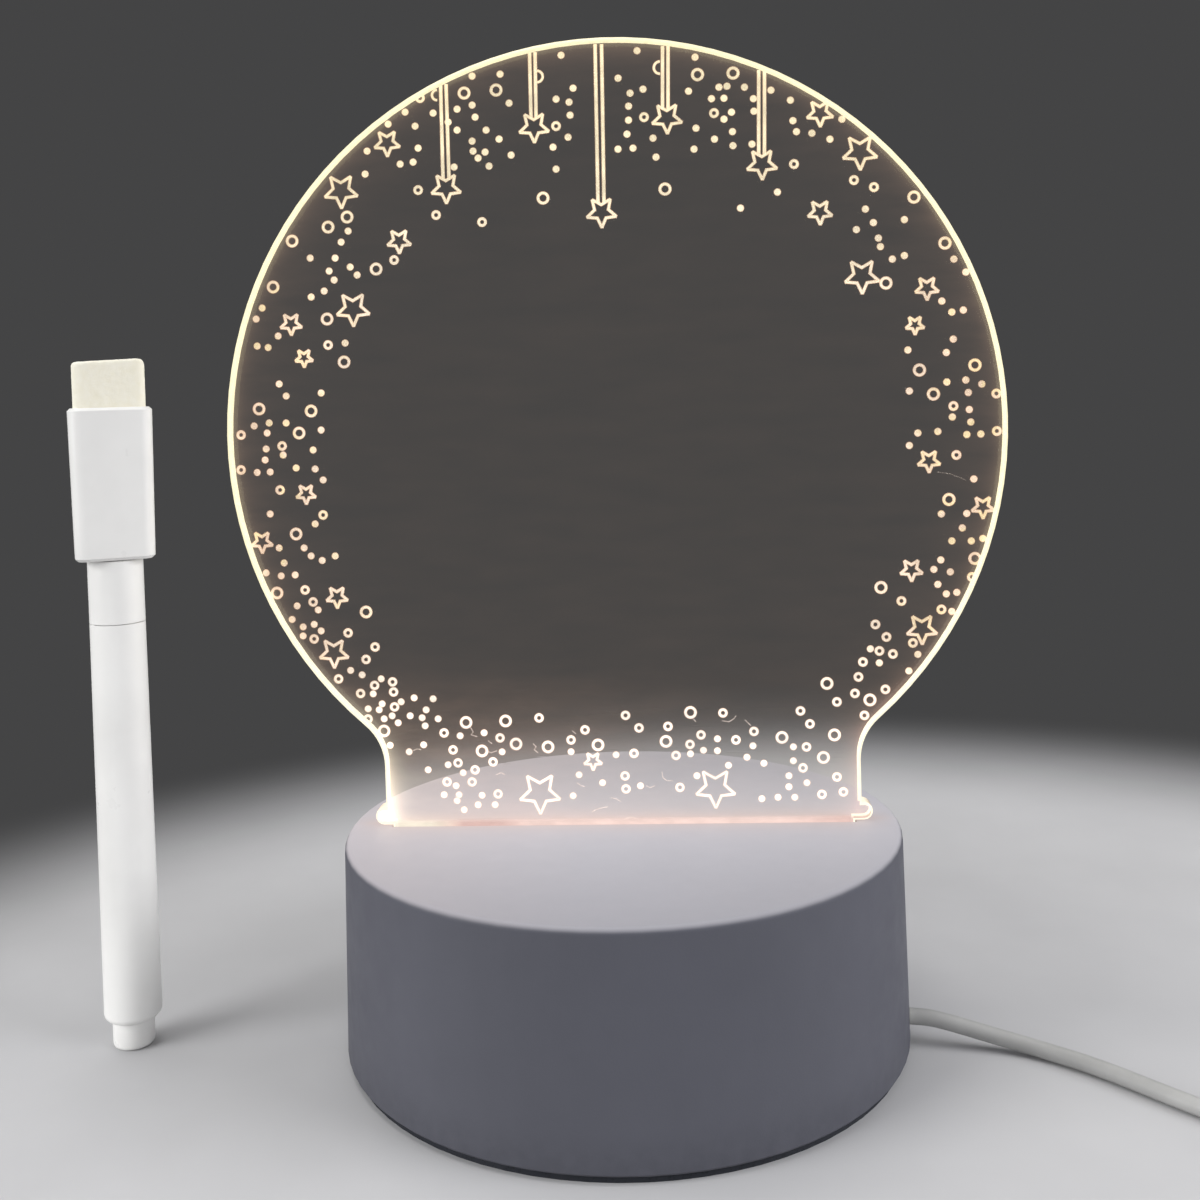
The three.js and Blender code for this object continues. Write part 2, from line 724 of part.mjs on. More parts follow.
function rockerSolid() {
  const end = rockerLength / 2;
  const side = new THREE.Shape([
    new THREE.Vector2(-end, rockerEndRise),
    new THREE.Vector2(-end, 0),
    new THREE.Vector2(-end / 2, -rockerDepth),
    new THREE.Vector2(end / 2, -rockerDepth),
    new THREE.Vector2(end, 0),
    new THREE.Vector2(end, rockerEndRise),
    new THREE.Vector2(end / 2, rockerMidRise + (rockerEndRise - rockerMidRise) / 4),
    new THREE.Vector2(0, rockerMidRise),
    new THREE.Vector2(-end / 2, rockerMidRise + (rockerEndRise - rockerMidRise) / 4),
  ]);
  const body = new THREE.ExtrudeGeometry(side, { depth: rockerWidth, bevelEnabled: false });
  body.rotateX(Math.PI / 2).translate(0, rockerWidth / 2, 0);
  const pin = new THREE.CylinderGeometry(rockerPinRadius, rockerPinRadius, rockerPinLength, smallSides);
  return geometryOf(join(body, pin)).rotateY(rockerTilt);
}

function addSwitch() {
  const housing = new THREE.Group();
  housing.position.set(switchStart.x + switchLength / 2, switchStart.y, 0);
  device.add(housing);
  const seam = switchHeight / 2;
  const windowLength = rockerLength + 2 * rockerPlay;
  const windowWidth = rockerWidth + 2 * slideGap;
  const pocket = block(windowLength, windowWidth, switchFloor, switchHeight + overrun);
  const bearing = new THREE.CylinderGeometry(
    rockerPinRadius + slideGap,
    rockerPinRadius + slideGap,
    rockerPinLength + 2 * slideGap,
    smallSides,
  ).translate(0, 0, rockerPivot);
  const lower = cut(solid(switchHalf(0, seam - switchSeam / 2, true)), pocket);
  const upper = cut(solid(switchHalf(seam + switchSeam / 2, switchHeight, false)), pocket, bearing);
  addPiece("switch_lower_shell", geometryOf(lower), whitePlastic, housing);
  addPiece("switch_upper_shell", geometryOf(upper), whitePlastic, housing);
  addPiece("switch_rocker", rockerSolid(), whitePlastic, housing).position.set(0, 0, rockerPivot);
}

// The plug is built along +Z from the cable's end and laid down along +Y.
function addPlug() {
  const plug = new THREE.Group();
  plug.position.copy(plugStart);
  plug.rotation.x = -Math.PI / 2;
  device.add(plug);
  const gripTop = plugReliefLength + plugGripLength;
  const relief = turned(
    [
      [0, 0],
      [plugReliefTipRadius, 0],
      [plugReliefRadius, plugReliefLength + overrun],
      [0, plugReliefLength + overrun],
    ],
    smallSides,
  );
  const grip = softBar(plugGripWidth, plugGripHeight, plugGripCorner, plugReliefLength, gripTop, plugGripRound);
  const shellFootZ = gripTop - plugShellSocket;
  const socket = block(
    plugShellWidth + 2 * snugGap,
    plugShellHeight + 2 * snugGap,
    shellFootZ - snugGap,
    gripTop + overrun,
  );
  addPiece("plug_grip", geometryOf(cut(join(grip, relief), socket)), whiteRubber, plug);
  const mouth = gripTop + plugShellReach;
  const outline = roundedOutline(plugShellWidth, plugShellHeight, plugShellCorner, plugCornerSteps);
  const tube = loft([shellFootZ, mouth].map((z) => outline.map(([x, y]) => new THREE.Vector3(x, y, z))));
  const innerWidth = plugShellWidth - 2 * plugShellWall;
  const innerHeight = plugShellHeight - 2 * plugShellWall;
  const hollow = block(innerWidth, innerHeight, shellFootZ - overrun, mouth + overrun);
  const latches = [1, -1].map((side) =>
    block(
      plugHoleSize,
      2 * plugShellHeight,
      mouth - plugHoleSetback - plugHoleSize / 2,
      mouth - plugHoleSetback + plugHoleSize / 2,
      (side * plugHoleSpacing) / 2,
    ),
  );
  addPiece("plug_shell", geometryOf(cut(solid(tube), hollow, ...latches)), screwSteel, plug);
  const insert = block(
    innerWidth - 2 * snugGap,
    plugInsertHeight,
    shellFootZ + snugGap,
    mouth - plugInsertSetback,
    0,
    (innerHeight - plugInsertHeight) / 2 - snugGap,
  );
  addPiece("plug_insert", insert, whitePlastic, plug);
}

// Share of a climb done at a point, eased in and out.
const eased = (share) => THREE.MathUtils.smoothstep(share, 0, 1);

// The cable's centre line in the coil: each layer winds in or out at a steady rate, and the cable
// climbs to the next layer in the half turn where the winding turns round.
function coilPoint(turn) {
  const layersPassed = turn / coilTurnsPerLayer;
  const layer = Math.floor(layersPassed);
  const along = layersPassed - layer;
  const inward = layer % 2 === 0 ? along : 1 - along;
  const radius = coilOuterRadius - coilPitch * coilTurnsPerLayer * inward;
  let height = cableRadius;
  for (let reversal = 1; reversal < coilLayers; reversal += 1) {
    const start = reversal * coilTurnsPerLayer - coilClimbTurns / 2;
    height += coilLayerRise * eased((turn - start) / coilClimbTurns);
  }
  const angle = (turn - 1 / 4) * 2 * Math.PI;
  return new THREE.Vector3(
    coilCentre.x + radius * Math.cos(angle),
    coilCentre.y + radius * Math.sin(angle),
    coilCentre.z + height,
  );
}

// Centre line of the whole coil, with a straight end of one cable diameter at each end.
function coilLine() {
  const steps = Math.round(coilLayers * coilTurnsPerLayer * coilStepsPerTurn);
  const wound = Array.from({ length: steps + 1 }, (_, step) => coilPoint(step / coilStepsPerTurn));
  const straight = 2 * cableRadius;
  const entry = wound[0].clone().add(new THREE.Vector3(-straight, 0, 0));
  const leave = wound[steps].clone().add(new THREE.Vector3(0, straight, 0));
  return [entry, ...wound, leave];
}

// Directions along the coil's centre line: level and square at both ends.
function coilDirections(line) {
  return line.map((_, index) => {
    const atEnd = index === 0 || index === line.length - 1;
    const before = line[Math.max(index - 1, 0)];
    const after = line[Math.min(index + 1, line.length - 1)];
    const direction = after.clone().sub(before);
    if (atEnd) direction.setZ(0);
    return direction.normalize();
  });
}

function coilRings(line) {
  const up = new THREE.Vector3(0, 0, 1);
  return coilDirections(line).map((direction, index) => {
    const aside = new THREE.Vector3().crossVectors(up, direction).normalize();
    const raised = new THREE.Vector3().crossVectors(direction, aside);
    return arc(0, 0, cableRadius, Math.PI / 2, (5 * Math.PI) / 2, coilSides)
      .slice(0, coilSides)
      .map(([across, rise]) => line[index].clone().addScaledVector(aside, across).addScaledVector(raised, rise));
  });
}

// The least gap between any two passes of the coil, measured on its centre line's points.
function coilGap(line) {
  const apart = coilStepsPerTurn / 2;
  let least = Infinity;
  line.forEach((point, index) => {
    for (let other = index + apart; other < line.length; other += 1) {
      const next = line[Math.min(other + 1, line.length - 1)];
      const stretch = new THREE.Line3(line[other], next);
      const nearest = stretch.closestPointToPoint(point, true, new THREE.Vector3());
      least = Math.min(least, point.distanceTo(nearest) - 2 * cableRadius);
    }
  });
  return least;
}

const lengthOf = (points) =>
  points.slice(1).reduce((sum, point, index) => sum + point.distanceTo(points[index]), 0);

function addCable() {
  addPiece("usb_cable_lead", cord(leadPoints, cableRadius, leadSteps), whiteRubber);
  addPiece("usb_cable_link", cord(linkPoints, cableRadius, linkSteps), whiteRubber);
  addPiece("usb_cable_end", cord(endPoints, cableRadius, endSteps), whiteRubber);
  const line = coilLine();
  addPiece("usb_cable_coil", loft(coilRings(line)), whiteRubber);
  console.log("coil's least gap to itself " + coilGap(line).toFixed(2) + " mm");
  const free = [leadPoints, linkPoints, endPoints].map((points) =>
    new THREE.CatmullRomCurve3(points.map((point) => new THREE.Vector3(...point))).getLength(),
  );
  const total = lengthOf(line) + free.reduce((sum, length) => sum + length, 0) + switchLength;
  console.log("cable length outside the base " + total.toFixed(0) + " mm");
}

// The marker stands upright on its end plug, with its cap and eraser on top.
function addMarker() {
  const marker = new THREE.Group();
  marker.position.set(markerX, markerY, 0);
  marker.rotation.z = markerTurn;
  device.add(marker);
  const quarter = Math.PI / 2;
  const endPlug = turned([
    [0, 0],
    ...arc(endPlugRadius - endPlugRound, endPlugRound, endPlugRound, -quarter, 0),
    [endPlugRadius, endPlugHeight + endPlugStub],
    [0, endPlugHeight + endPlugStub],
  ]);
  addPiece("marker_end_plug", endPlug, markerPlastic, marker);
  const footRound = arc(
    barrelFootRadius - barrelFootRound,
    endPlugHeight + barrelFootRound,
    barrelFootRound,
    -quarter,
    0,
  );
  const barrel = turned([
    [markerBore, endPlugHeight],
    ...footRound.slice(1),
    [barrelTopRadius, barrelTop],
    [markerBore, barrelTop],
    [markerBore, endPlugHeight],
  ]);
  addPiece("marker_barrel", barrel, markerPlastic, marker);
  addMarkerFront(marker);
  const reservoirTop = barrelTop - frontSpigotLength - slideGap;
  const reservoir = rod(reservoirRadius, endPlugHeight + endPlugStub + slideGap, reservoirTop, 0, 0, roundSides);
  addPiece("ink_reservoir", reservoir, inkFibre, marker);
  addMarkerCap(marker);
}

function addMarkerFront(marker) {
  const bore = nibRadius + snugGap;
  const spigot = markerBore - snugGap;
  const seat = barrelTop + frontSeam;
  const shoulder = capFoot - restGap;
  const neckTop = capFoot + frontNeckLength;
  const front = turned([
    [bore, barrelTop - frontSpigotLength],
    [spigot, barrelTop - frontSpigotLength],
    [spigot, seat],
    [barrelTopRadius, seat],
    [barrelTopRadius, shoulder],
    [frontNeckRadius, shoulder],
    [frontNeckRadius, neckTop],
    [frontSnoutRadius, neckTop + frontConeLength],
    [frontSnoutRadius, snoutTop],
    [bore, snoutTop],
    [bore, barrelTop - frontSpigotLength],
  ]);
  addPiece("marker_front_section", front, markerPlastic, marker);
  const nibFoot = barrelTop - frontSpigotLength;
  const nib = turned(
    [
      [0, nibFoot],
      [nibRadius, nibFoot],
      [nibRadius, nibTop - nibRadius],
      [nibTipRadius, nibTop],
      [0, nibTop],
    ],
    smallSides,
  );
  addPiece("marker_nib", nib, blackFibre, marker);
}

function addMarkerCap(marker) {
  const outside = softBar(capWidth, capDepth, capCorner, capFoot, capTop, capEdgeRound, capTaper);
  const bore = rod(capBore, capFoot - overrun, capBoreTop, 0, 0, roundSides);
  const seat = softBar(
    eraserWidth + 2 * snugGap,
    eraserDepth + 2 * snugGap,
    eraserCorner,
    capTop - eraserSeat,
    capTop + eraserSeat,
    snugGap,
  );
  addPiece("marker_cap", geometryOf(cut(solid(outside), bore, seat)), markerPlastic, marker);
  const linerOuter = capBore - snugGap;
  const linerInner = frontSnoutRadius + slideGap;
  const linerTop = capBoreTop - restGap;
  const liner = turned([
    [linerInner, linerTop - linerLength],
    [linerOuter, linerTop - linerLength],
    [linerOuter, linerTop],
    [linerInner, linerTop],
    [linerInner, linerTop - linerLength],
  ]);
  addPiece("cap_liner", liner, markerPlastic, marker);
  const felt = softBar(
    eraserWidth,
    eraserDepth,
    eraserCorner,
    capTop - eraserSeat + 2 * snugGap,
    capTop + eraserHeight,
    eraserCrown,
  );
  addPiece("eraser_felt", felt, creamFelt, marker);
}

addBase();
addWritingBoard();
addLights();
addCableEntry();
addSwitch();
addPlug();
addCable();
addMarker();

export default device;
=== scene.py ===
"""Clear writing board lit through its edge, with its base, cable and marker.

Sizes are in metres and +Z is up. The board's front faces -Y and its slot runs along X.
"""

import json
import math

import bpy
from mathutils import Matrix, Vector, noise


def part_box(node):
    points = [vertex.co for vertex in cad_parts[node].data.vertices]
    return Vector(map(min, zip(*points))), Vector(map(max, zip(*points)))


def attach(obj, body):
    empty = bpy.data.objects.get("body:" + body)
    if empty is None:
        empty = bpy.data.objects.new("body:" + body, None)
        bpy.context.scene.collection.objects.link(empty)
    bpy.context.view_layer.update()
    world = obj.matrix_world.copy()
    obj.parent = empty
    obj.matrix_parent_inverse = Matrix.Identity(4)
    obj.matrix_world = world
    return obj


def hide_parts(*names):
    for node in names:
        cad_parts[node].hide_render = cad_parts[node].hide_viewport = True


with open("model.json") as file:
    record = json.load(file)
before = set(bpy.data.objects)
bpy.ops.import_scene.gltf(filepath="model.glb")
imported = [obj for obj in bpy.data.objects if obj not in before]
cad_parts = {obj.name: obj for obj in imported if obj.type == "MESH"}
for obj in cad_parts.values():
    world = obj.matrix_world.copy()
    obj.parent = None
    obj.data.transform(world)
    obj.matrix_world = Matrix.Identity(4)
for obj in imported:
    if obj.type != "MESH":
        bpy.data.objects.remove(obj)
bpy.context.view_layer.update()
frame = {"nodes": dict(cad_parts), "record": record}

MM = 0.001

# Camera, fitted to the photograph's frame
photo_width = 1200
focal_pixels = 1335
optical_centre = (595, 445)
sensor_width_mm = 36.0
camera_place = Vector((10.0 * MM, -241.6 * MM, 115.3 * MM))
camera_yaw = math.radians(3.11)
camera_pitch = math.radians(2.0)
camera_roll = math.radians(-1.6)

# Studio
world_strength = 0.28
world_colour = (1.0, 1.0, 1.02)
backdrop_grey = (0.058, 0.058, 0.059)
floor_reach = 6.0
lit_middle = (40 * MM, -30 * MM, 0)  # the floor is pale round this place
lit_radius = 150 * MM
unlit_radius = 280 * MM
lamp_aim = Vector((20 * MM, 0, 60 * MM))
lamps = {  # place, size, power and colour
    "key": ((-0.2, 0.1, 0.95), 0.6, 2.6, (1.0, 0.99, 0.98)),
    "fill": ((-0.6, -0.36, 0.3), 0.45, 3.8, (1.0, 1.0, 1.0)),
    "side": ((0.65, -0.22, 0.35), 0.5, 4.4, (0.98, 0.98, 1.0)),
}

# Board
plate_front = -2 * MM
plate_back = 2 * MM
acrylic_bend = 1.49  # refractive index
disc_radius = 70.3 * MM
disc_height = 109.2 * MM
neck_half = 43.2 * MM
flare_radius = 10 * MM
flare_height = 49.05 * MM
base_top = 38 * MM
bead_radius = 1.6 * MM
bead_x = 43.6 * MM
bead_height = 39.8 * MM

# Marker and its eraser
marker_turn = math.radians(25)  # about the marker's own axis, towards the viewer
eraser_half = Vector((6.15 * MM, 5.05 * MM))
eraser_corner = 1.8 * MM
eraser_corner_steps = 8
eraser_edge = 0.5 * MM
eraser_edge_steps = 4
eraser_nap = 0.07 * MM
eraser_slant = 0.55 * MM
eraser_round_end = 1.5 * MM
eraser_round_share = 0.6
eraser_gap = 0.35 * MM  # between its points
eraser_wall_steps = 26
eraser_top_steps = 16
matted_size = 0.7 * MM
matted_share = 0.6
tuft_size = 0.25 * MM
tuft_share = 0.4

# Marks on the board
board_pixel = (plate_back - camera_place.y) / focal_pixels  # a pixel's reach there
mark_lift = 0.01 * MM  # from the board's back face to the marks
mark_step = 0.0004 * MM  # each mark lies this much further out than the one before
mark_rise = 0.05 * MM
skirt_width = 0.2 * MM  # soft edge of light round a mark
ring_stroke = 0.33 * MM
half_ring_share = 0.8
star_stroke = 0.35 * MM
star_points = 5
star_tip = 0.14 * MM  # width of the blunt tips, along the middle of the stroke
star_inner_share = 0.5
pendant_stroke = 0.44 * MM
scratch_stroke = 0.07 * MM
scratch_skirt = 0.1 * MM
stroke_edge_shares = (0.7, 0.75)  # rise and glow at a stroke's edges
longest_mitre_share = 1.3
ring_sides = 24
dot_sides = 16
dot_ring_shares = [(1, 0.4, 0.75), (0.55, 0.8, 1.0)]  # radius, rise and glow

# Cable
cable_diameter = 2.8 * MM
cable_sides = 16
cable_entry = 0.27 * MM  # how far it starts inside the base's wall
route_steps = 6
coil_centre = Vector((152 * MM, -20.2 * MM, 0))
coil_layers = 4
coil_turns_per_layer = 2.0625
coil_steps_per_turn = 24
coil_start_turn = -0.25  # from +X
coil_pitch = 3.35 * MM
coil_layer_rise = 3.3 * MM
coil_outer_radius = 19.8 * MM
coil_climb_turns = 0.5
tie_turn = 0.36  # where the tie is, as a part of a turn from +X
tie_width = 3.2 * MM
tie_thickness = 0.5 * MM
tie_corner = 1.7 * MM
tie_corner_steps = 4
tie_room = 0.15 * MM
tie_tail_length = 9 * MM
tie_tail_shares = (0.0, 0.1, 0.3, 0.6, 1.0)
tie_tail_drop_share = 0.2

# CAD faces that are shaded as one
same_place = 0.001 * MM
same_face_turn = math.radians(32)

# Route of the cable from the base to the switch, from the switch to the coil, and from the coil
# to the plug, in millimetres
lead_route = [
    (50.2, -7.05, 4.8), (53.4, -7.65, 4.75), (57, -8.35, 4.15), (60.8, -9.1, 3.3),
    (64.6, -9.9, 2.45), (68.4, -11.1, 1.8), (72.6, -13.5, 1.45), (77.2, -17.1, 1.42),
    (81.1, -20.8, 1.42), (84.7, -24.7, 1.42), (90.5, -30.9, 1.44), (94.6, -34.6, 1.5),
    (98.9, -37.5, 1.85), (103.2, -39.2, 2.75), (107.6, -39.95, 3.62), (110.7, -40, 3.7),
]
link_route = [
    (136.3, -40, 3.7), (139.1, -40, 3.6), (142.4, -40, 2.55), (145.9, -40, 1.6),
    (148.9, -40, 1.4),
]
end_route = [
    (171.8, -17.1, 11.3), (171.8, -14.2, 11.25), (171.5, -9.2, 9.4), (170.7, -3.6, 5.4),
    (169.4, 1.6, 2.2), (168.3, 6, 1.7), (167.7, 9.6, 2.9), (167.5, 13.2, 3.75),
    (167.5, 16.2, 3.8),
]

# Marks, in pixels of the photograph, with outer radii. A pendant has its two lines' ends and its
# star's centre, a half ring its centre, radius and first angle, a star its centre and radius, and
# a ring or dot its centre. A scratch is a path.
pendant_star_pixels = 16
pendants = [
    ((440.5, 84), (443, 179), (446, 84), (449, 179), (446, 188)),
    ((529.5, 52), (531, 119), (535, 52), (536, 119), (534, 127)),
    ((595, 44), (598, 203), (601.5, 44), (604, 203), (601.5, 212)),
    ((662.5, 46), (662.5, 109), (668, 46), (668, 109), (667, 118)),
    ((758.7, 70), (758.7, 155), (764.5, 70), (764.5, 155), (762, 164)),
]
half_rings = [(537, 76.5, 6.5, -90), (660, 67.5, 7, 90), (437, 95, 6, 90)]
stars = [
    (387, 143, 14), (341, 191, 18), (399, 241, 13), (353, 309, 18), (291, 324, 12),
    (304, 358, 10), (306, 494, 11), (262, 542, 12), (337, 597, 12), (334, 653, 16),
    (820, 113, 14), (860, 152, 18), (820, 212, 13), (862, 276, 18), (927, 288, 12.5),
    (915, 325, 10), (929, 461, 12), (983, 507, 12), (911.5, 570, 12), (922, 629, 16),
    (593, 761, 10), (540, 793, 22), (715.5, 788, 21),
]
large_ring_pixels = 7
large_rings = [
    (464, 93), (496, 90), (347, 217), (328, 227), (292, 241), (376, 269), (273, 287),
    (327, 319), (344, 362), (259, 409), (311, 411), (299, 433), (296, 534), (277, 593),
    (366, 612), (543, 198), (665, 189), (697.5, 74.5), (733, 73), (914, 197), (945, 243),
    (886, 283), (975, 365), (919.5, 370), (933.5, 394), (949, 499.5), (975, 558.5),
    (881, 587.5), (384, 731), (466, 722.5), (505.5, 721), (516, 744), (482, 751),
    (548, 747), (598, 745), (690.5, 712.5), (666, 741.5), (782, 737.5), (834.5, 735),
    (823.5, 757.5), (827, 683.5), (870, 700),
]
small_ring_pixels = 5.4
small_rings = [
    (420, 98), (418, 190), (436, 215), (482, 222), (394, 260), (328, 345), (241, 435),
    (282, 446), (241, 470), (280, 490), (323, 515), (305, 590), (313, 602), (348, 633),
    (314, 639), (375, 647), (366, 659.5), (338.5, 679), (360.5, 693.5), (374.5, 685.5),
    (392.5, 682), (393.5, 692), (394.5, 707), (368, 719), (556, 126), (644, 117),
    (714, 113), (854, 180), (874, 187), (794, 164), (996.5, 393.5), (953.5, 406),
    (997, 431), (956.5, 455), (972, 577), (901.5, 601), (941.5, 609.5), (875.5, 624.5),
    (886.5, 637), (913, 643), (879.5, 651), (893, 654), (863, 662), (858.5, 677),
    (444, 733), (539, 718), (500, 738), (571, 740), (585, 730), (453, 750), (475, 770),
    (458, 763), (493, 762), (472, 782), (447, 782), (498, 794), (625.5, 715.5),
    (639, 728), (668, 726.5), (701, 735), (723, 713), (736, 740), (754, 731.5),
    (800.5, 711), (810, 724), (806.5, 747), (837, 702), (855, 693.5), (885.5, 689.5),
    (864.5, 715.5), (803, 768), (837, 777), (843.5, 792), (822, 794.5), (680, 787.5),
    (676, 755.5), (690, 744.5), (634, 753.5), (625, 776), (626, 789),
]
dot_pixels = 4.1
dots = [
    (500, 74), (472, 76), (509, 103), (457, 109), (472, 105), (475, 117), (405, 112),
    (433, 113), (388, 124), (415, 126), (457, 130), (486, 130), (418, 148), (367, 151),
    (472, 141), (499, 139), (473, 151), (485, 152), (478, 158), (511, 155), (400, 164),
    (413, 162), (489, 166), (365, 174), (454, 167), (448, 122), (348, 231), (341, 242),
    (310, 258), (335, 258), (329, 271), (350, 267), (357, 275), (334, 280), (324, 291),
    (311, 297), (262, 308), (256, 319), (278, 336), (345, 343), (257, 346), (268, 347.5),
    (279, 384), (286, 396), (321, 393), (269, 423), (286, 423), (254, 426), (267, 433),
    (321, 430), (266, 449), (313, 450), (283, 455), (265, 460), (296, 468), (315, 469),
    (257, 472.5), (270, 472), (323, 480), (270, 514), (315, 524), (279, 548), (304, 548),
    (311, 556), (322, 560.5), (335, 556), (284, 563), (266, 573), (281, 576), (295, 575),
    (297, 606), (318, 610), (292, 619.5), (303, 627), (314, 624.5), (303, 636),
    (321, 631), (350.5, 670.5), (362, 675), (561, 55), (573, 88), (556, 99), (569, 102),
    (570, 115), (568, 137), (553, 147), (556, 169), (637, 50.5), (695, 57), (618, 78),
    (643, 89), (630, 93), (628.5, 106), (628.5, 120), (627, 134), (618, 149), (633, 148),
    (653, 138), (656, 157), (688.5, 91), (696, 128), (694, 149), (714.5, 139), (719, 87),
    (727, 86), (744.5, 87), (711.5, 98.5), (724, 98), (753.5, 98.5), (771, 90),
    (790.5, 100), (731.5, 112), (754, 111), (724, 119), (793, 120.5), (732.5, 131.5),
    (796.5, 131.5), (812, 133), (733, 145.5), (830, 139), (842, 119), (752, 144),
    (777.5, 192), (740.5, 208), (865.5, 209), (873.5, 222.5), (856.5, 229.5),
    (904.5, 219.5), (878.5, 238), (880.5, 246.5), (904.5, 255.5), (892.5, 259),
    (954, 259), (966, 272), (942, 301), (952, 312), (963.5, 310), (953.5, 339),
    (908, 350), (946.5, 352.5), (966, 380), (947, 382), (982, 384), (909.5, 391),
    (968.5, 392.5), (969.5, 409.5), (952.5, 417), (971, 422), (918, 433), (938, 431.5),
    (967, 434.5), (981, 434), (909.5, 445.5), (974, 479), (941.5, 514), (967, 513.5),
    (962.5, 528), (952, 541), (971.5, 541), (983, 538.5), (941, 560), (934, 569.5),
    (950.5, 572), (938, 584.5), (946.5, 594), (957, 592.5), (952, 611.5), (870.5, 649),
    (879.5, 663), (918, 654.5), (909, 671), (381, 679), (373, 694), (401, 702),
    (414, 698), (433, 699), (382, 704), (379, 710), (368, 709), (426, 710), (410, 716),
    (392, 716), (384, 719), (398, 723), (422, 718), (438, 719), (425, 726), (423.5, 745),
    (409, 752), (460, 736), (484, 733), (390, 745.5), (428, 770), (448, 765), (463, 773),
    (502, 752), (456, 786), (444, 795), (459, 795), (457, 801), (482, 795.5), (495, 805),
    (478, 805), (464, 810), (571, 752), (579, 775), (602.5, 783), (573, 796), (616, 755),
    (640.5, 786), (717.5, 739), (753, 746), (793.5, 747), (690.5, 754), (703.5, 750.5),
    (717.5, 751), (747, 757.5), (764, 763.5), (793.5, 761), (728.5, 765.5), (697, 776),
    (789, 776), (807, 783), (789, 787), (762, 799), (778, 797.5), (795, 797.5),
]
scratches = [
    [(937, 472), (951, 474), (966, 480)], [(905, 388), (914, 391)],
    [(470, 727), (473, 732), (471, 735), (477, 737)], [(413, 751), (417, 749), (421, 750)],
    [(486, 751), (491, 753), (497, 751)], [(533, 744), (536, 747), (534, 750), (538, 753)],
    [(577, 783), (581, 786), (585, 787)], [(592, 812), (598, 809), (608, 807)],
    [(611, 798), (616, 799), (621, 802)], [(646, 786), (650, 788), (655, 786)],
    [(662, 772), (663, 778), (667, 781), (673, 781)], [(692, 716), (693, 719), (696, 722)],
    [(722, 721), (729, 722), (734, 719), (736, 716)], [(496, 775), (501, 773), (505, 775)],
    [(624, 820), (630, 817), (636, 819)], [(745, 720), (751, 726)], [(572, 731), (576, 734)],
    [(488, 741), (492, 744)],
]


def camera_axes():
    """Right, up and forward of the camera."""
    forward = Vector((
        -math.sin(camera_yaw) * math.cos(camera_pitch),
        math.cos(camera_yaw) * math.cos(camera_pitch),
        -math.sin(camera_pitch),
    ))
    level = Vector((math.cos(camera_yaw), math.sin(camera_yaw), 0))
    upright = level.cross(forward)
    right = math.cos(camera_roll) * level + math.sin(camera_roll) * upright
    up = math.cos(camera_roll) * upright - math.sin(camera_roll) * level
    return right, up, forward


def put_in_scene(name, data):
    """A new object in the scene with this mesh, lamp or camera."""
    item = bpy.data.objects.new(name, data)
    bpy.context.scene.collection.objects.link(item)
    return item


def make_camera():
    right, up, forward = camera_axes()
    data = bpy.data.cameras.new("camera")
    data.sensor_width = sensor_width_mm
    data.lens = focal_pixels * sensor_width_mm / photo_width
    data.shift_x = (photo_width / 2 - optical_centre[0]) / photo_width
    data.shift_y = (optical_centre[1] - photo_width / 2) / photo_width
    camera = put_in_scene("camera", data)
    turn = Matrix((right, up, -forward)).transposed().to_4x4()
    camera.matrix_world = Matrix.Translation(camera_place) @ turn
    bpy.context.scene.camera = camera


def towards(angle):
    """A step of length 1 at an angle in radians from the first axis."""
    return Vector((math.cos(angle), math.sin(angle)))


def turned(start, end, steps):
    """Evenly spaced angles in radians, from start to end in degrees."""
    return [math.radians(start + (end - start) * step / steps) for step in range(steps + 1)]


def arc(centre, radius, start, end, steps):
    return [centre + radius * towards(angle) for angle in turned(start, end, steps)]


def rounded_outline(half, corner, steps):
    """Points round a rectangle with round corners, anticlockwise from its right side."""
    outline = []
    for turn, (side_x, side_y) in enumerate(((1, 1), (-1, 1), (-1, -1), (1, -1))):
        centre = Vector((side_x * (half.x - corner), side_y * (half.y - corner)))
        outline += arc(centre, corner, 90 * turn, 90 * (turn + 1), steps)
    return outline


def spaced(outline, gap):
    """The closed outline with points added so that none lie further apart than gap."""
    result = []
    for place, following in zip(outline, outline[1:] + outline[:1]):
        pieces = max(1, math.ceil((following - place).length / gap))
        result += [place.lerp(following, piece / pieces) for piece in range(pieces)]
    return result


def neighbours(path, index, closed=False):
    """The places before and after one on a path. At an open end, one is the place itself."""
    count = len(path)
    before = path[(index - 1) % count] if closed or index else path[index]
    after = path[(index + 1) % count] if closed or index < count - 1 else path[index]
    return before, after


def skin(first, rows, count, closed=False, rings=True):
    """Faces between rows of count points each, from the point first on.

    With closed, the last row joins the first. With rings, each row is a ring.
    """
    faces = []
    for row in range(rows if closed else rows - 1):
        this = first + row * count
        following = first + (row + 1) % rows * count
        for index in range(count if rings else count - 1):
            step = (index + 1) % count
            faces.append((this + index, this + step, following + step, following + index))
    return faces


def fan(first, count, tip):
    """Faces from a ring of count points to one point."""
    return [(first + index, first + (index + 1) % count, tip) for index in range(count)]


def make_mesh(name, points, faces, body):
    mesh = bpy.data.meshes.new(name)
    mesh.from_pydata(points, [], faces)
    mesh.polygons.foreach_set("use_smooth", [True] * len(mesh.polygons))
    piece = put_in_scene(name, mesh)
    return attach(piece, body)


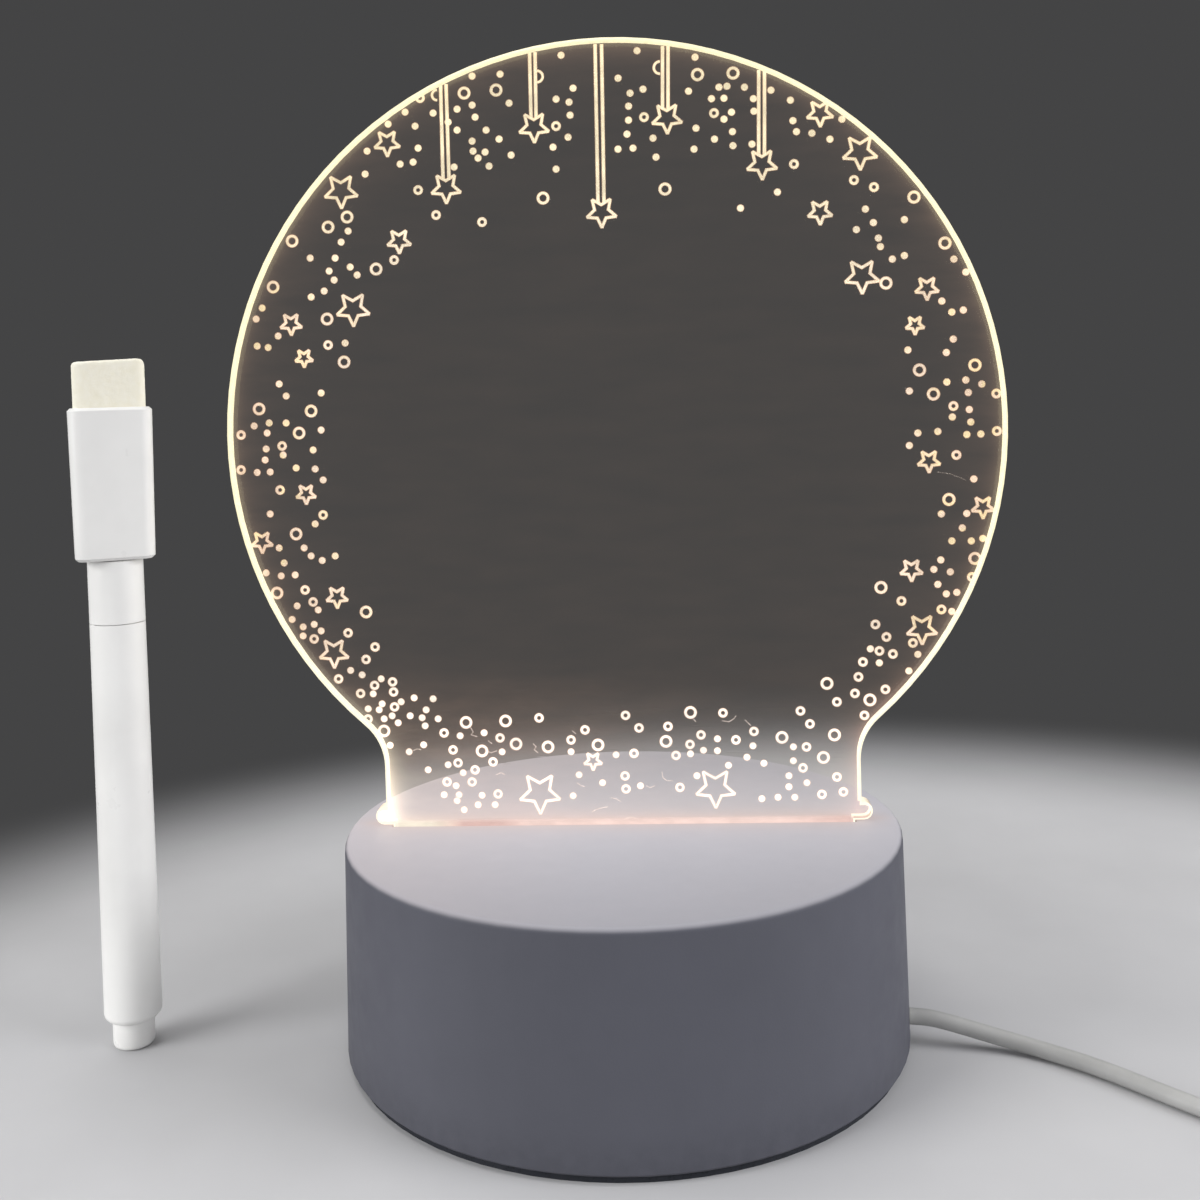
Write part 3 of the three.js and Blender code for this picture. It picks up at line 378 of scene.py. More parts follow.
def smooth_route(route):
    """A centripetal Catmull-Rom line through a route, as the cable's solids follow it."""
    points = [Vector(point) * MM for point in route]
    line = [points[0] * 2 - points[1], *points, points[-1] * 2 - points[-2]]
    smooth = [points[0]]
    for a, b, c, d in zip(line, line[1:], line[2:], line[3:]):
        before, inside, after = (math.sqrt((q - p).length) for p, q in ((a, b), (b, c), (c, d)))
        leave = (b - a) / before - (c - a) / (before + inside) + (c - b) / inside
        arrive = (c - b) / inside - (d - b) / (inside + after) + (d - c) / after
        leave, arrive = leave * inside, arrive * inside
        for step in range(1, route_steps + 1):
            t = step / route_steps
            smooth.append(
                (2 * t**3 - 3 * t**2 + 1) * b + (t**3 - 2 * t**2 + t) * leave
                + (3 * t**2 - 2 * t**3) * c + (t**3 - t**2) * arrive
            )
    return smooth


def eased(share):
    share = min(max(share, 0.0), 1.0)
    return share * share * (3 - 2 * share)


def coil_place(turn):
    """Centre of the cable in the coil, which winds in and out again and climbs where it turns."""
    layer = math.floor(turn / coil_turns_per_layer)
    along = turn / coil_turns_per_layer - layer
    inward = along if layer % 2 == 0 else 1 - along
    radius = coil_outer_radius - coil_pitch * coil_turns_per_layer * inward
    height = cable_diameter / 2
    for reversal in range(1, coil_layers):
        start = reversal * coil_turns_per_layer - coil_climb_turns / 2
        height += coil_layer_rise * eased((turn - start) / coil_climb_turns)
    angle = (turn + coil_start_turn) * math.tau
    return coil_centre + Vector((radius * math.cos(angle), radius * math.sin(angle), height))


def coil_route():
    steps = round(coil_layers * coil_turns_per_layer * coil_steps_per_turn)
    wound = [coil_place(step / coil_steps_per_turn) for step in range(steps + 1)]
    return [*wound, wound[-1] + Vector((0, cable_diameter, 0))]


def make_cord(name, route, solids, pieces, **facts):
    """The cable along route in place of its solids, as a closed tube."""
    points = []
    aside = Vector((0, 0, 1)).cross(route[1] - route[0]).normalized()
    for index, place in enumerate(route):
        before, after = neighbours(route, index)
        along = (after - before).normalized()
        aside = (aside - along * aside.dot(along)).normalized()
        raised = along.cross(aside)
        for side in range(cable_sides):
            angle = math.tau * side / cable_sides
            reach = math.cos(angle) * aside + math.sin(angle) * raised
            points.append(place + reach * cable_diameter / 2)
    faces = skin(0, len(route), cable_sides)
    faces.append(tuple(reversed(range(cable_sides))))
    faces.append(tuple(range(len(points) - cable_sides, len(points))))
    cord = make_mesh(name, points, faces, "base")
    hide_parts(*solids)
    sum((b - a).length for a, b in zip(route, route[1:]))
    return cord


def make_cords(tie):
    """The cable up to its switch, and from there with its coil to the plug."""
    lead = smooth_route(lead_route)
    lead.insert(0, lead[0] - (lead[1] - lead[0]).normalized() * cable_entry)
    main = smooth_route(link_route) + coil_route() + smooth_route(end_route)
    switch = ["switch_lower_shell", "switch_upper_shell", "switch_rocker"]
    plug = ["plug_grip", "plug_shell", "plug_insert"]
    solids = ["usb_cable_link", "usb_cable_coil", "usb_cable_end"]
    return (
        make_cord("usb_cable_lead_cord", lead, ["usb_cable_lead"], switch, far_end="fitting"),
        make_cord("usb_cable_main_cord", main, solids, [*plug, tie], far_end="plug", lay="coiled"),
    )


def tie_paths():
    """The tie's loop round the coil's turns and its free end, as distances out and heights."""
    room = cable_diameter / 2 + tie_room
    outer = coil_outer_radius + room
    top = cable_diameter / 2 + coil_layer_rise * (coil_layers - 1) + room
    inner = coil_outer_radius - coil_pitch * coil_turns_per_layer - room
    low = Vector((inner, tie_thickness / 2))
    half = (Vector((outer, top)) - low) / 2
    loop = [low + half + place for place in rounded_outline(half, tie_corner, tie_corner_steps)]
    tail = []
    for share in tie_tail_shares:
        height = top * (1 - tie_tail_drop_share * share) - tie_corner * (1 - share)
        tail.append(Vector((outer + tie_tail_length * share, height)))
    return loop, tail


def make_tie():
    """A flat strap round the coil, whose free end sticks out from its top."""
    outward = towards(tie_turn * math.tau).to_3d()
    across = Vector((-outward.y, outward.x, 0))
    points, faces = [], []
    loop, tail = tie_paths()
    for path in (loop, tail):
        first = len(points)
        for index, place in enumerate(path):
            before, after = neighbours(path, index, path is loop)
            lean = Vector((after.y - before.y, before.x - after.x)).normalized()
            for side, face in ((-1, 1), (1, 1), (1, -1), (-1, -1)):
                spot = place + lean * face * tie_thickness / 2
                aside = across * side * tie_width / 2
                points.append(coil_centre + aside + outward * spot.x + Vector((0, 0, spot.y)))
        faces += skin(first, len(path), 4, path is loop)
    faces.append(tuple(range(first, first + 4)))
    faces.append(tuple(reversed(range(len(points) - 4, len(points)))))
    return make_mesh("coil_tie", points, faces, "base")


class Value:
    """A number that differs from place to place. Sums with it add nodes to its tree."""

    def __init__(self, nodes, socket):
        self.nodes = nodes
        self.socket = socket

    def __add__(self, other):
        return self.nodes.maths("ADD", self, other)

    def __sub__(self, other):
        return self.nodes.maths("SUBTRACT", self, other)

    def __rsub__(self, other):
        return self.nodes.maths("SUBTRACT", other, self)

    def __mul__(self, other):
        return self.nodes.maths("MULTIPLY", self, other)

    def __abs__(self):
        return self.nodes.maths("ABSOLUTE", self)

    def span(self, up):
        """Length of a step with this part and the other."""
        return self.nodes.maths("SQRT", self * self + up * up)

    def fading(self, reach):
        """1 where this distance is zero, and 1 / e where it is reach."""
        return self.nodes.maths("POWER", 1 / math.e, self.nodes.maths("DIVIDE", self, reach))

    def spread(self, low, high, to_low=0.0, to_high=1.0, curve="LINEAR"):
        """This value from low to high, turned into to_low to to_high and held there."""
        entries = {
            "Value": self, "From Min": low, "From Max": high, "To Min": to_low, "To Max": to_high,
        }
        return self.nodes.number("MapRange", "Result", entries, interpolation_type=curve)

    def ease(self, low, high, to_low=0.0, to_high=1.0):
        """Spread with soft ends."""
        return self.spread(low, high, to_low, to_high, "SMOOTHSTEP")

    def patches(self, to_low=0.0, to_high=1.0):
        """Most of a noise's range, spread from to_low to to_high."""
        return self.spread(0.3, 0.7, to_low, to_high)


class Nodes:
    """A tree of shader nodes, filled by short calls."""

    def __init__(self, tree, output):
        self.tree = tree
        tree.nodes.clear()
        self.output = self.add(output)

    def add(self, kind, entries=None, **settings):
        """A new node, with entries fed to its sockets by name or number."""
        node = self.tree.nodes.new("ShaderNode" + kind)
        for name, value in settings.items():
            setattr(node, name, value)
        for socket, value in (entries or {}).items():
            self.feed(node.inputs[socket], value)
        return node

    def feed(self, socket, value):
        """Links a value to a socket, or sets it if it is a plain number or colour."""
        if isinstance(value, Value):
            value = value.socket
        if isinstance(value, bpy.types.NodeSocket):
            self.tree.links.new(value, socket)
        else:
            socket.default_value = (*value, 1) if socket.type == "RGBA" else value

    def number(self, kind, output, entries=None, **settings):
        """What comes out of a new node, as a value for sums."""
        return Value(self, self.add(kind, entries, **settings).outputs[output])

    def maths(self, operation, *values):
        return self.number("Math", 0, dict(enumerate(values)), operation=operation)

    def mix(self, share, first, second):
        """The first shader, and the second by share."""
        return self.add("MixShader", {0: share, 1: first, 2: second}).outputs[0]

    def surface(self, shader):
        self.feed(self.output.inputs["Surface"], shader)


class Paint(Nodes):
    """A material. Places are the piece's own, in metres."""

    def __init__(self, name, **settings):
        self.material = bpy.data.materials.new(name)
        self.material.use_nodes = True
        super().__init__(self.material.node_tree, "OutputMaterial")
        entries = {socket.replace("_", " "): value for socket, value in settings.items()}
        self.shader = self.add("BsdfPrincipled", entries)
        self.surface(self.shader.outputs[0])
        self.place = self.add("TexCoord").outputs["Object"]

    def noise(self, size, detail=2.0, rough=0.5, stretch=None):
        """Cloudy noise whose patches are about size across."""
        place = self.place
        if stretch:
            place = self.add("Mapping", {"Vector": place, "Scale": stretch}).outputs[0]
        entries = {"Vector": place, "Scale": 1 / size, "Detail": detail, "Roughness": rough}
        return self.number("TexNoise", "Fac", entries)

    def cells(self, size):
        """Distance to the nearest of many points that lie about size apart."""
        return self.number("TexVoronoi", "Distance", {"Vector": self.place, "Scale": 1 / size})

    def axes(self, vector=None):
        """The three parts of a direction, or of the place."""
        parts = self.add("SeparateXYZ", {0: vector or self.place})
        return [Value(self, part) for part in parts.outputs]

    def normal(self):
        return self.add("NewGeometry").outputs["Normal"]

    def rounded_normal(self, radius):
        """The normal as it would be with sharp edges rounded to radius."""
        return self.add("Bevel", {"Radius": radius}, samples=4).outputs[0]

    def stroke(self):
        """How far a place lies inside a mark's stroke, from 0 to 1."""
        return self.number("Attribute", "Fac", attribute_name="glow")

    def edges(self, radius):
        """Near 1 where the surface turns sharply within radius."""
        normals = {0: self.rounded_normal(radius), 1: self.normal()}
        facing = self.number("VectorMath", "Value", normals, operation="DOT_PRODUCT")
        return facing.spread(0.995, 0.85)

    def blend(self, share, first, second):
        """A colour between two, by share."""
        return self.add("Mix", {0: share, 6: first, 7: second}, data_type="RGBA").outputs[2]

    def bump(self, height, depth, strength, softened=None):
        """Relief of depth metres. With softened, sharp edges shade as rounds of that radius."""
        entries = {"Height": height, "Distance": depth, "Strength": strength}
        if softened:
            entries["Normal"] = self.rounded_normal(softened)
        self.feed(self.shader.inputs["Normal"], self.add("Bump", entries).outputs[0])

    def colour(self, value):
        self.feed(self.shader.inputs["Base Color"], value)

    def tones(self, colour, first, *layers):
        """Colours the surface with first times colour, under layers of a share and a factor."""
        tone = shade(colour, first)
        for share, factor in layers:
            tone = self.blend(share, tone, shade(colour, factor))
        self.colour(tone)

    def roughness(self, value):
        self.feed(self.shader.inputs["Roughness"], value)

    def glow(self, colour, strength):
        """Light that the surface gives off."""
        self.feed(self.shader.inputs["Emission Color"], colour)
        self.feed(self.shader.inputs["Emission Strength"], strength)


def shade(colour, factor):
    return tuple(min(channel * factor, 1.0) for channel in colour)


def moulded_plastic(name, colour, rough, grain=0.3 * MM, relief=0.02 * MM, sheen=0.35):
    """Moulded plastic with a fine grain, faint clouding and lighter, rubbed edges."""
    cloud = 14 * MM
    speck = 0.9 * MM
    gloss = 4 * MM
    worn_edge = 0.35 * MM
    soft_edge = 0.2 * MM
    paint = Paint(name, Specular_IOR_Level=sheen)
    clouds = paint.noise(cloud, 3.0).patches()
    rub = paint.edges(worn_edge) * paint.noise(speck).spread(0.35, 0.65, 0.1, 0.6)
    paint.tones(colour, 0.95, (clouds, 1.03), (rub, 1.12))
    paint.roughness(paint.noise(gloss, 4.0).patches(rough - 0.06, rough + 0.07))
    paint.bump(paint.noise(grain, 3.0, 0.6), relief, 0.5, soft_edge)
    return paint.material


def shed_light(paint, x, y, above):
    """Painted light on the base's top, as the board would shed it: its colour, warm by the slot,
    and strength.

    Above is the height from the base's top.
    """
    near_reach = 4 * MM
    far_reach = 100 * MM
    side = 40 * MM
    cool_x = -5 * MM
    past_ends = (7 * MM, -3 * MM)
    top_edge = (-0.9 * MM, -0.1 * MM)
    aside = abs(y) - plate_back
    near = aside.fading(near_reach) * (abs(x) - neck_half).spread(*past_ends) * 0.045
    # Painted light: the whole top glows faintly, so it reads lighter than the shaded sides
    strength = aside.fading(far_reach) * x.spread(-side, side, 0.52, 0.45) + near
    cool = paint.blend(x.spread(cool_x, -side), (0.98, 0.95, 1.0), (1.0, 0.92, 0.94))
    colour = paint.blend(near.spread(0, 0.06), cool, (1, 0.76, 0.66))
    return colour, strength * above.ease(*top_edge)


def base_plastic():
    """The base's matt plastic: spark-eroded grain, a dusty foot with painted shade, and painted
    light from the slot on its top.
    """
    # Painted shade: a dark grey that stands for the shaded sides, darker than the plastic itself
    colour = (0.097, 0.099, 0.121)
    cloud = 22 * MM
    streak = 3 * MM
    dust_grain = 2.4 * MM
    dust_and_shade_heights = (9 * MM, 1.5 * MM)
    gloss = 6 * MM
    grain = 0.35 * MM
    relief = 0.025 * MM
    worn_edge = 0.8 * MM
    soft_edge = 0.3 * MM
    paint = Paint("base_plastic", Specular_IOR_Level=0.28)
    x, y, z = paint.axes()
    clouds = paint.noise(cloud, 4.0, 0.55)
    streaks = paint.noise(streak, 3.0, stretch=(1, 1, 0.25)).spread(0.45, 0.75, 0, 0.1)
    # Dusty patches, and painted shade that darkens the foot
    dust_and_foot_shade = z.ease(*dust_and_shade_heights) * paint.noise(dust_grain, 5.0).patches(0.15, 0.65)
    rub = paint.edges(worn_edge) * clouds.patches(0.2, 0.6)
    layers = [(clouds.patches(), 1.04), (streaks, 1.15), (dust_and_foot_shade, 0.72), (rub, 1.12)]
    paint.tones(colour, 0.95, *layers)
    paint.roughness(paint.noise(gloss, 4.0).patches(0.5, 0.64))
    paint.bump(paint.noise(grain, 3.0, 0.6), relief, 0.55, soft_edge)
    paint.glow(*shed_light(paint, x, y, z - base_top))
    return paint.material


def outline_distance(paint, x, z):
    """Distance from a place on the board to its outline, above the base."""
    to_rim = disc_radius - x.span(z - disc_height)
    across = neck_half + flare_radius - abs(x)
    to_flare = across.span(paint.maths("MAXIMUM", z - flare_height, 0.0)) - flare_radius
    reach_share = (disc_height - flare_height) / (disc_radius + flare_radius)
    in_disc = paint.maths("GREATER_THAN", z, disc_height - disc_radius * reach_share)
    to_bead = bead_radius - (abs(x) - bead_x).span(z - bead_height)
    return paint.maths("MAXIMUM", in_disc.spread(0, 1, to_flare, to_rim), to_bead)


def scattered_light(paint, x, z):
    """Light scattered in the board by its outline and over its slot: its colour and strength.

    Heights are measured from the base's top.
    """
    low_heights = (37 * MM, 0)
    lowest_heights = (18 * MM, 1 * MM)
    warm_heights = (22 * MM, 52 * MM)
    cloud_heights = (31 * MM, 13 * MM)
    air_height = -0.2 * MM
    left_side = (-20 * MM, -42 * MM)
    cloud_side = (24 * MM, -24 * MM)
    rim_reaches = (0.8 * MM, 1.5 * MM)
    scatter_reach = 5 * MM
    foot_reach = 1.2 * MM
    haze_reach = 16 * MM
    patch = 7 * MM
    distance = outline_distance(paint, x, z)
    above = z - base_top
    left = x.spread(*left_side)
    rim_reach = above.ease(*low_heights).spread(0.0, 1.0, *rim_reaches)
    rim_level = above.ease(*lowest_heights) * left * 0.6 + 0.12
    cloud = above.ease(*cloud_heights, 0.0, 0.042) * x.spread(*cloud_side)
    scatter = distance.fading(scatter_reach) * 0.03 + cloud
    haze = above.fading(haze_reach) * 0.014 + 0.006
    patches = paint.noise(patch, 3.0, 0.6, (0.5, 1, 2)).patches(0.5, 1.2)
    foot = above.fading(foot_reach) * 0.05 + (haze + scatter) * patches
    glow = distance.fading(rim_reach) * rim_level + foot
    warm = paint.blend(left, (1.0, 0.52, 0.38), (1.0, 0.80, 0.58))
    warm = paint.blend(above.spread(*warm_heights), warm, (1.0, 0.76, 0.42))
    colour = paint.blend(glow.spread(0.03, 0.1), (1.0, 0.62, 0.42), warm)
    return colour, glow * paint.maths("GREATER_THAN", above, air_height)


def with_slot_line(paint, x, y, above):
    """The shader with a bright line where the board's front enters its slot.

    The line is cream at the left and pink along the rest, and fades at the right. Above is the
    height from the base's top.
    """
    middle_side = (-24 * MM, -16 * MM)
    fading_side = (28 * MM, 42 * MM)
    cream_side = (-29 * MM, -35 * MM)
    line_heights = (1.5 * MM, 0.3 * MM)
    slot_heights = (-1.8 * MM, -0.6 * MM)
    shimmer = 5 * MM
    bright = x.ease(*middle_side) * x.spread(*fading_side, 1.0, 0.2)
    pink = paint.blend(bright, (0.78, 0.53, 0.48), (0.97, 0.73, 0.66))
    colour = paint.blend(x.spread(*cream_side), pink, (1.0, 0.90, 0.74))
    strength = paint.noise(shimmer, 3.0, 0.6, (1, 1, 3)).patches(0.92, 1.14)
    line = paint.add("Emission", {"Color": colour, "Strength": strength}).outputs[0]
    share = above.ease(*line_heights, 0.0, 0.95) * above.spread(*slot_heights)
    in_front = paint.maths("LESS_THAN", y, 0.0)
    return paint.mix(share * in_front, paint.shader.outputs[0], line)


def clear_acrylic():
    """The board's faces: clear acrylic with fine scratches, lit from its slot."""
    wiped = 9 * MM
    hairline = 0.6 * MM
    hairline_depth = 0.004 * MM
    paint = Paint(
        "clear_acrylic",
        Base_Color=(1.0, 0.99, 0.965),
        Transmission_Weight=1.0,
        IOR=acrylic_bend,
    )
    x, y, z = paint.axes()
    paint.roughness(paint.noise(wiped, 4.0, 0.6, (1, 1, 0.4)).spread(0.35, 0.75, 0.008, 0.035))
    hairlines = paint.noise(hairline, 2.0, 0.5, (0.12, 1, 1)).spread(0.66, 0.72)
    paint.bump(hairlines, hairline_depth, 0.3)
    paint.glow(*scattered_light(paint, x, z))
    # Lamps shine through the board
    clear = paint.add("BsdfTransparent", {"Color": (0.94, 0.93, 0.9)}).outputs[0]
    in_shadow = paint.add("LightPath").outputs["Is Shadow Ray"]
    paint.surface(paint.mix(in_shadow, with_slot_line(paint, x, y, z - base_top), clear))
    return paint.material


def glowing_edge():
    """The board's saw-cut edge, which sends the light out.

    The rounded feet of the board shine less between their bevels, the right one least.
    """
    grain = 3 * MM
    streak = 1.6 * MM
    saw_cut = 0.5 * MM
    cut_depth = 0.02 * MM
    side = 30 * MM
    feet_heights = (3.4 * MM, 2.8 * MM)  # from the base's top
    yellow_height = 52 * MM
    paint = Paint("glowing_edge", Roughness=0.4)
    x, _, z = paint.axes()
    above = z - base_top
    grains = paint.noise(grain, 3.0).patches()
    paint.colour(paint.blend(grains, (0.17, 0.15, 0.11), (0.22, 0.2, 0.15)))
    between = abs(paint.axes(paint.normal())[1]).spread(0.4, 0.2)
    foot = above.spread(*feet_heights) * between
    cream = paint.blend(above.spread(0, yellow_height), (1.0, 0.93, 0.76), (1.0, 0.90, 0.58))
    cream = paint.blend(foot * 0.6, cream, (1.0, 0.66, 0.46))
    streaks = paint.noise(streak, 3.0, 0.6).patches(0.9, 1.06)
    paint.glow(cream, streaks * (1.0 - foot * x.spread(-side, side, 0.1, 0.6)))
    paint.bump(paint.noise(saw_cut), cut_depth, 0.4)
    return paint.material


def mark_light():
    """Etched marks: bright in the stroke and fading to clear over its soft edge."""
    foot_heights = (75 * MM, 48 * MM)
    top_heights = (120 * MM, 165 * MM)
    outer_side = (36 * MM, 62 * MM)
    yellow_patch = 4 * MM
    patch = 3.5 * MM
    grain = 0.15 * MM
    gloss = 0.2 * MM
    etched_grain = 0.12 * MM
    etched_depth = 0.01 * MM
    paint = Paint("mark_light", Roughness=0.6, Base_Color=(0.22, 0.2, 0.17))
    x, _, z = paint.axes()
    stroke = paint.stroke()
    near_foot = z.ease(*foot_heights)
    outer = abs(x).spread(*outer_side)
    core = paint.blend(outer, (1.0, 0.90, 0.76), (1.0, 0.74, 0.56))
    yellow = paint.noise(yellow_patch, 1.0).spread(0.5, 0.62) * outer
    core = paint.blend(yellow, core, (0.95, 0.76, 0.42))
    core = paint.blend(z.ease(*top_heights), core, (1.0, 0.88, 0.58))
    core = paint.blend(near_foot, core, (1.0, 0.96, 0.90))
    colour = paint.blend(stroke.spread(0.2, 0.75), (1.0, 0.50, 0.28), core)
    level = paint.noise(patch, 1.0).spread(0.35, 0.65, 0.8, 1.14)
    paint.glow(colour, level * near_foot.spread(0.0, 1.0, 0.95, 1.2))
    grains = paint.noise(grain).spread(0.2, 0.8, 0.85, 1.0)
    paint.feed(paint.shader.inputs["Alpha"], stroke.ease(0.0, 0.8) * grains)
    paint.roughness(paint.noise(gloss).patches(0.5, 0.75))
    paint.bump(paint.noise(etched_grain), etched_depth, 0.5)
    return paint.material


def scratch_light():
    """Fine scratches in the board, which catch a little of its light."""
    foot_heights = (75 * MM, 50 * MM)
    grain = 0.3 * MM
    relief = 0.01 * MM
    paint = Paint("scratch_light", Roughness=0.6, Base_Color=(0.2, 0.18, 0.17))
    grains = paint.noise(grain, 3.0, 0.7).patches(0.4, 1.0)
    colour = paint.blend(grains, (0.8, 0.62, 0.54), (1.0, 0.86, 0.80))
    near_foot = paint.axes()[2].ease(*foot_heights)
    paint.glow(colour, near_foot.spread(0.0, 1.0, 0.08, 0.85))
    paint.feed(paint.shader.inputs["Alpha"], paint.stroke() * grains)
    paint.bump(grains, relief, 0.5)
    return paint.material


def cable_jacket():
    """Soft cable jacket: satin, faintly mottled, with scuffs along it."""
    colour = (0.46, 0.46, 0.45)
    mottle = 5 * MM
    scuff = 1.7 * MM
    scuffed_patch = 11 * MM
    gloss = 2 * MM
    grain = 0.4 * MM
    relief = 0.02 * MM
    paint = Paint("cable_jacket", Specular_IOR_Level=0.4)
    mottles = paint.noise(mottle, 4.0).patches()
    scuffed = paint.noise(scuffed_patch).spread(0.5, 0.7)
    scuffs = paint.cells(scuff).spread(0.12, 0.04, 0.0, 0.35) * scuffed
    paint.tones(colour, 0.93, (mottles, 1.05), (scuffs, 0.7))
    paint.roughness(paint.noise(gloss, 3.0).patches(0.38, 0.52))
    paint.bump(paint.noise(grain, 3.0), relief, 0.4)
    return paint.material


def felt():
    """Dense cream felt: short matted fibres, with greyer patches where it has wiped."""
    fibre = 0.22 * MM
    matted_patch = 1.4 * MM
    wiped_heights = (122.5 * MM, 124.6 * MM)
    wiped_patch = 2.5 * MM
    relief = 0.12 * MM
    paint = Paint(
        "cream_felt_fibres",
        Sheen_Weight=0.25,
        Sheen_Roughness=0.5,
        Specular_IOR_Level=0.1,
    )
    fibres = paint.noise(fibre, 4.0, 0.7, (1, 1, 2.2))
    matted = paint.noise(matted_patch, 4.0, 0.6)
    body = paint.blend(matted.patches(), (0.95, 0.905, 0.74), (0.99, 0.955, 0.82))
    body = paint.blend(fibres.spread(0.35, 0.7, 0, 0.3), body, (1.0, 0.98, 0.90))
    top = paint.axes()[2].spread(*wiped_heights)
    wiped = top * paint.noise(wiped_patch, 3.0).spread(0.4, 0.65, 0.0, 0.14)
    paint.colour(paint.blend(wiped, body, (0.62, 0.61, 0.56)))
    paint.roughness(fibres.patches(0.85, 1.0))
    paint.bump(fibres + matted * 0.6, relief, 0.6)
    return paint.material


def rubber(name, colour):
    pore = 0.5 * MM
    pore_depth = 0.04 * MM
    gloss = 3 * MM
    paint = Paint(name, Specular_IOR_Level=0.3)
    pores = paint.cells(pore).spread(0.1, 0.4)
    paint.tones(colour, 0.6, (pores, 1.3))
    paint.roughness(paint.noise(gloss, 3.0).patches(0.75, 0.92))
    paint.bump(pores, pore_depth, 0.5)
    return paint.material


def metal(name, colour, rough, brushed):
    """Plated metal with lines brushed along it, and darker edges where the plating is thin."""
    line = 0.35 * MM
    line_depth = 0.006 * MM
    stain = 3 * MM
    thin_edge = 0.15 * MM
    soft_edge = 0.1 * MM
    paint = Paint(name, Metallic=1.0)
    lines = paint.noise(line, 3.0, 0.6, brushed)
    stains = paint.noise(stain, 4.0).spread(0.4, 0.75, 0, 0.35)
    paint.tones(colour, 1, (stains, 0.72), (paint.edges(thin_edge) * 0.4, 0.8))
    paint.roughness(lines.patches(rough - 0.05, rough + 0.1))
    paint.bump(lines, line_depth, 0.4, soft_edge)
    return paint.material


def circuit_board():
    """White solder resist with the faint relief of the copper tracks under it."""
    track_shift = 0.3 * MM
    track_pitch = 1.1 * MM
    track_edges = (0.35 * MM, 0.5 * MM)
    track_depth = 0.03 * MM
    gloss = 2 * MM
    paint = Paint("white_laminate", Specular_IOR_Level=0.5)
    along = paint.axes()[1] + track_shift
    tracks = paint.maths("PINGPONG", along, track_pitch).spread(*track_edges)
    paint.colour(paint.blend(tracks, (0.78, 0.80, 0.74), (0.86, 0.86, 0.82)))
    paint.roughness(paint.noise(gloss, 3.0).patches(0.3, 0.42))
    paint.bump(tracks, track_depth, 0.5)
    return paint.material


def lamp_lens():
    """A lit lens with a mottled glow."""
    mottle = 0.6 * MM
    grain = 0.3 * MM
    relief = 0.02 * MM
    paint = Paint("lit_lens", Roughness=0.3)
    mottles = paint.noise(mottle).patches()
    paint.colour(paint.blend(mottles, (1.0, 0.80, 0.42), (1.0, 0.88, 0.55)))
    paint.glow((1.0, 0.85, 0.6), mottles.spread(0.0, 1.0, 1.2, 2.0))
    paint.bump(paint.noise(grain), relief, 0.4)
    return paint.material


def ink_fibre():
    """Fibre soaked with black ink, its strands running along the marker."""
    strand = 0.18 * MM
    strand_depth = 0.05 * MM
    paint = Paint("ink_fibre", Specular_IOR_Level=0.3)
    strands = paint.noise(strand, 3.0, 0.6, (1, 1, 0.08))
    paint.colour(paint.blend(strands, (0.012, 0.012, 0.016), (0.06, 0.06, 0.07)))
    paint.roughness(strands.patches(0.6, 0.85))
    paint.bump(strands, strand_depth, 0.6)
    return paint.material


def marker_plastic():
    """The marker's glossier plastic, with a coarser and shallower grain."""
    grain = 0.5 * MM
    relief = 0.01 * MM
    colour = (0.90, 0.895, 0.875)
    return moulded_plastic("marker_shell_plastic", colour, 0.33, grain, relief, 0.5)


def slot_materials():
    """One material for each of the record's slots."""
    return {
        "base_plastic": base_plastic(),
        "white_plastic": moulded_plastic("white_shell_plastic", (0.72, 0.715, 0.72), 0.42),
        # Black foam rubber of the coil's tie and the base's pad; the pad's black edge is also
        # painted shade under the base's rim
        "black_rubber": rubber("foam_rubber", (0.02, 0.022, 0.028)),
        "screw_steel": metal("zinc_plate", (0.60, 0.60, 0.61), 0.3, (1, 1, 1)),
        "board_laminate": circuit_board(),
        "led_lens": lamp_lens(),
        "black_ceramic": moulded_plastic("black_ceramic_body", (0.025, 0.025, 0.028), 0.5),
        "cable_white": cable_jacket(),
        "red_vinyl": moulded_plastic("red_wire_vinyl", (0.45, 0.03, 0.025), 0.4),
        "black_vinyl": moulded_plastic("black_wire_vinyl", (0.025, 0.025, 0.028), 0.4),
        "plug_steel": metal("nickel_plate", (0.72, 0.71, 0.69), 0.2, (1, 0.06, 1)),
        "marker_plastic": marker_plastic(),
        "nib_fibre": ink_fibre(),
        "cream_felt": felt(),
    }


def smooth_facets(mesh):
    """Shades the facets of round CAD faces as one. Only normals are set, and no point moves."""
    at_place = {}
    corners = []
    for face in mesh.polygons:
        points = [mesh.vertices[i].co for i in face.vertices]
        for index, point in enumerate(points):
            to_next = points[(index + 1) % len(points)] - point
            to_last = points[index - 1] - point
            weight = to_next.angle(to_last, 0.0) * face.area
            key = tuple(round(c / same_place) for c in point)
            at_place.setdefault(key, []).append((face.normal.copy(), weight))
            corners.append((key, face.normal.copy()))
    least = math.cos(same_face_turn)
    normals = []
    for key, own in corners:
        total = Vector((0, 0, 0))
        for normal, weight in at_place[key]:
            if normal.dot(own) > least:
                total += normal * weight
        normals.append(total.normalized() if total.length > 0 else own)
    mesh.polygons.foreach_set("use_smooth", [True] * len(mesh.polygons))
    mesh.normals_split_custom_set(normals)


def dress_nodes(paints):
    """Gives each CAD node its material, and the board clear faces and glowing edges."""
    slots = {entry["node"]: entry["material_slot"] for entry in frame["record"]["subparts"]}
    for name, node in frame["nodes"].items():
        mesh = node.data
        smooth_facets(mesh)
        mesh.materials.clear()
        if name == "writing_board":
            mesh.materials.append(clear_acrylic())
            mesh.materials.append(glowing_edge())
            for face in mesh.polygons:
                face.material_index = 0 if abs(face.normal.y) > 0.99 else 1
        else:
            mesh.materials.append(paints[slots[name]])


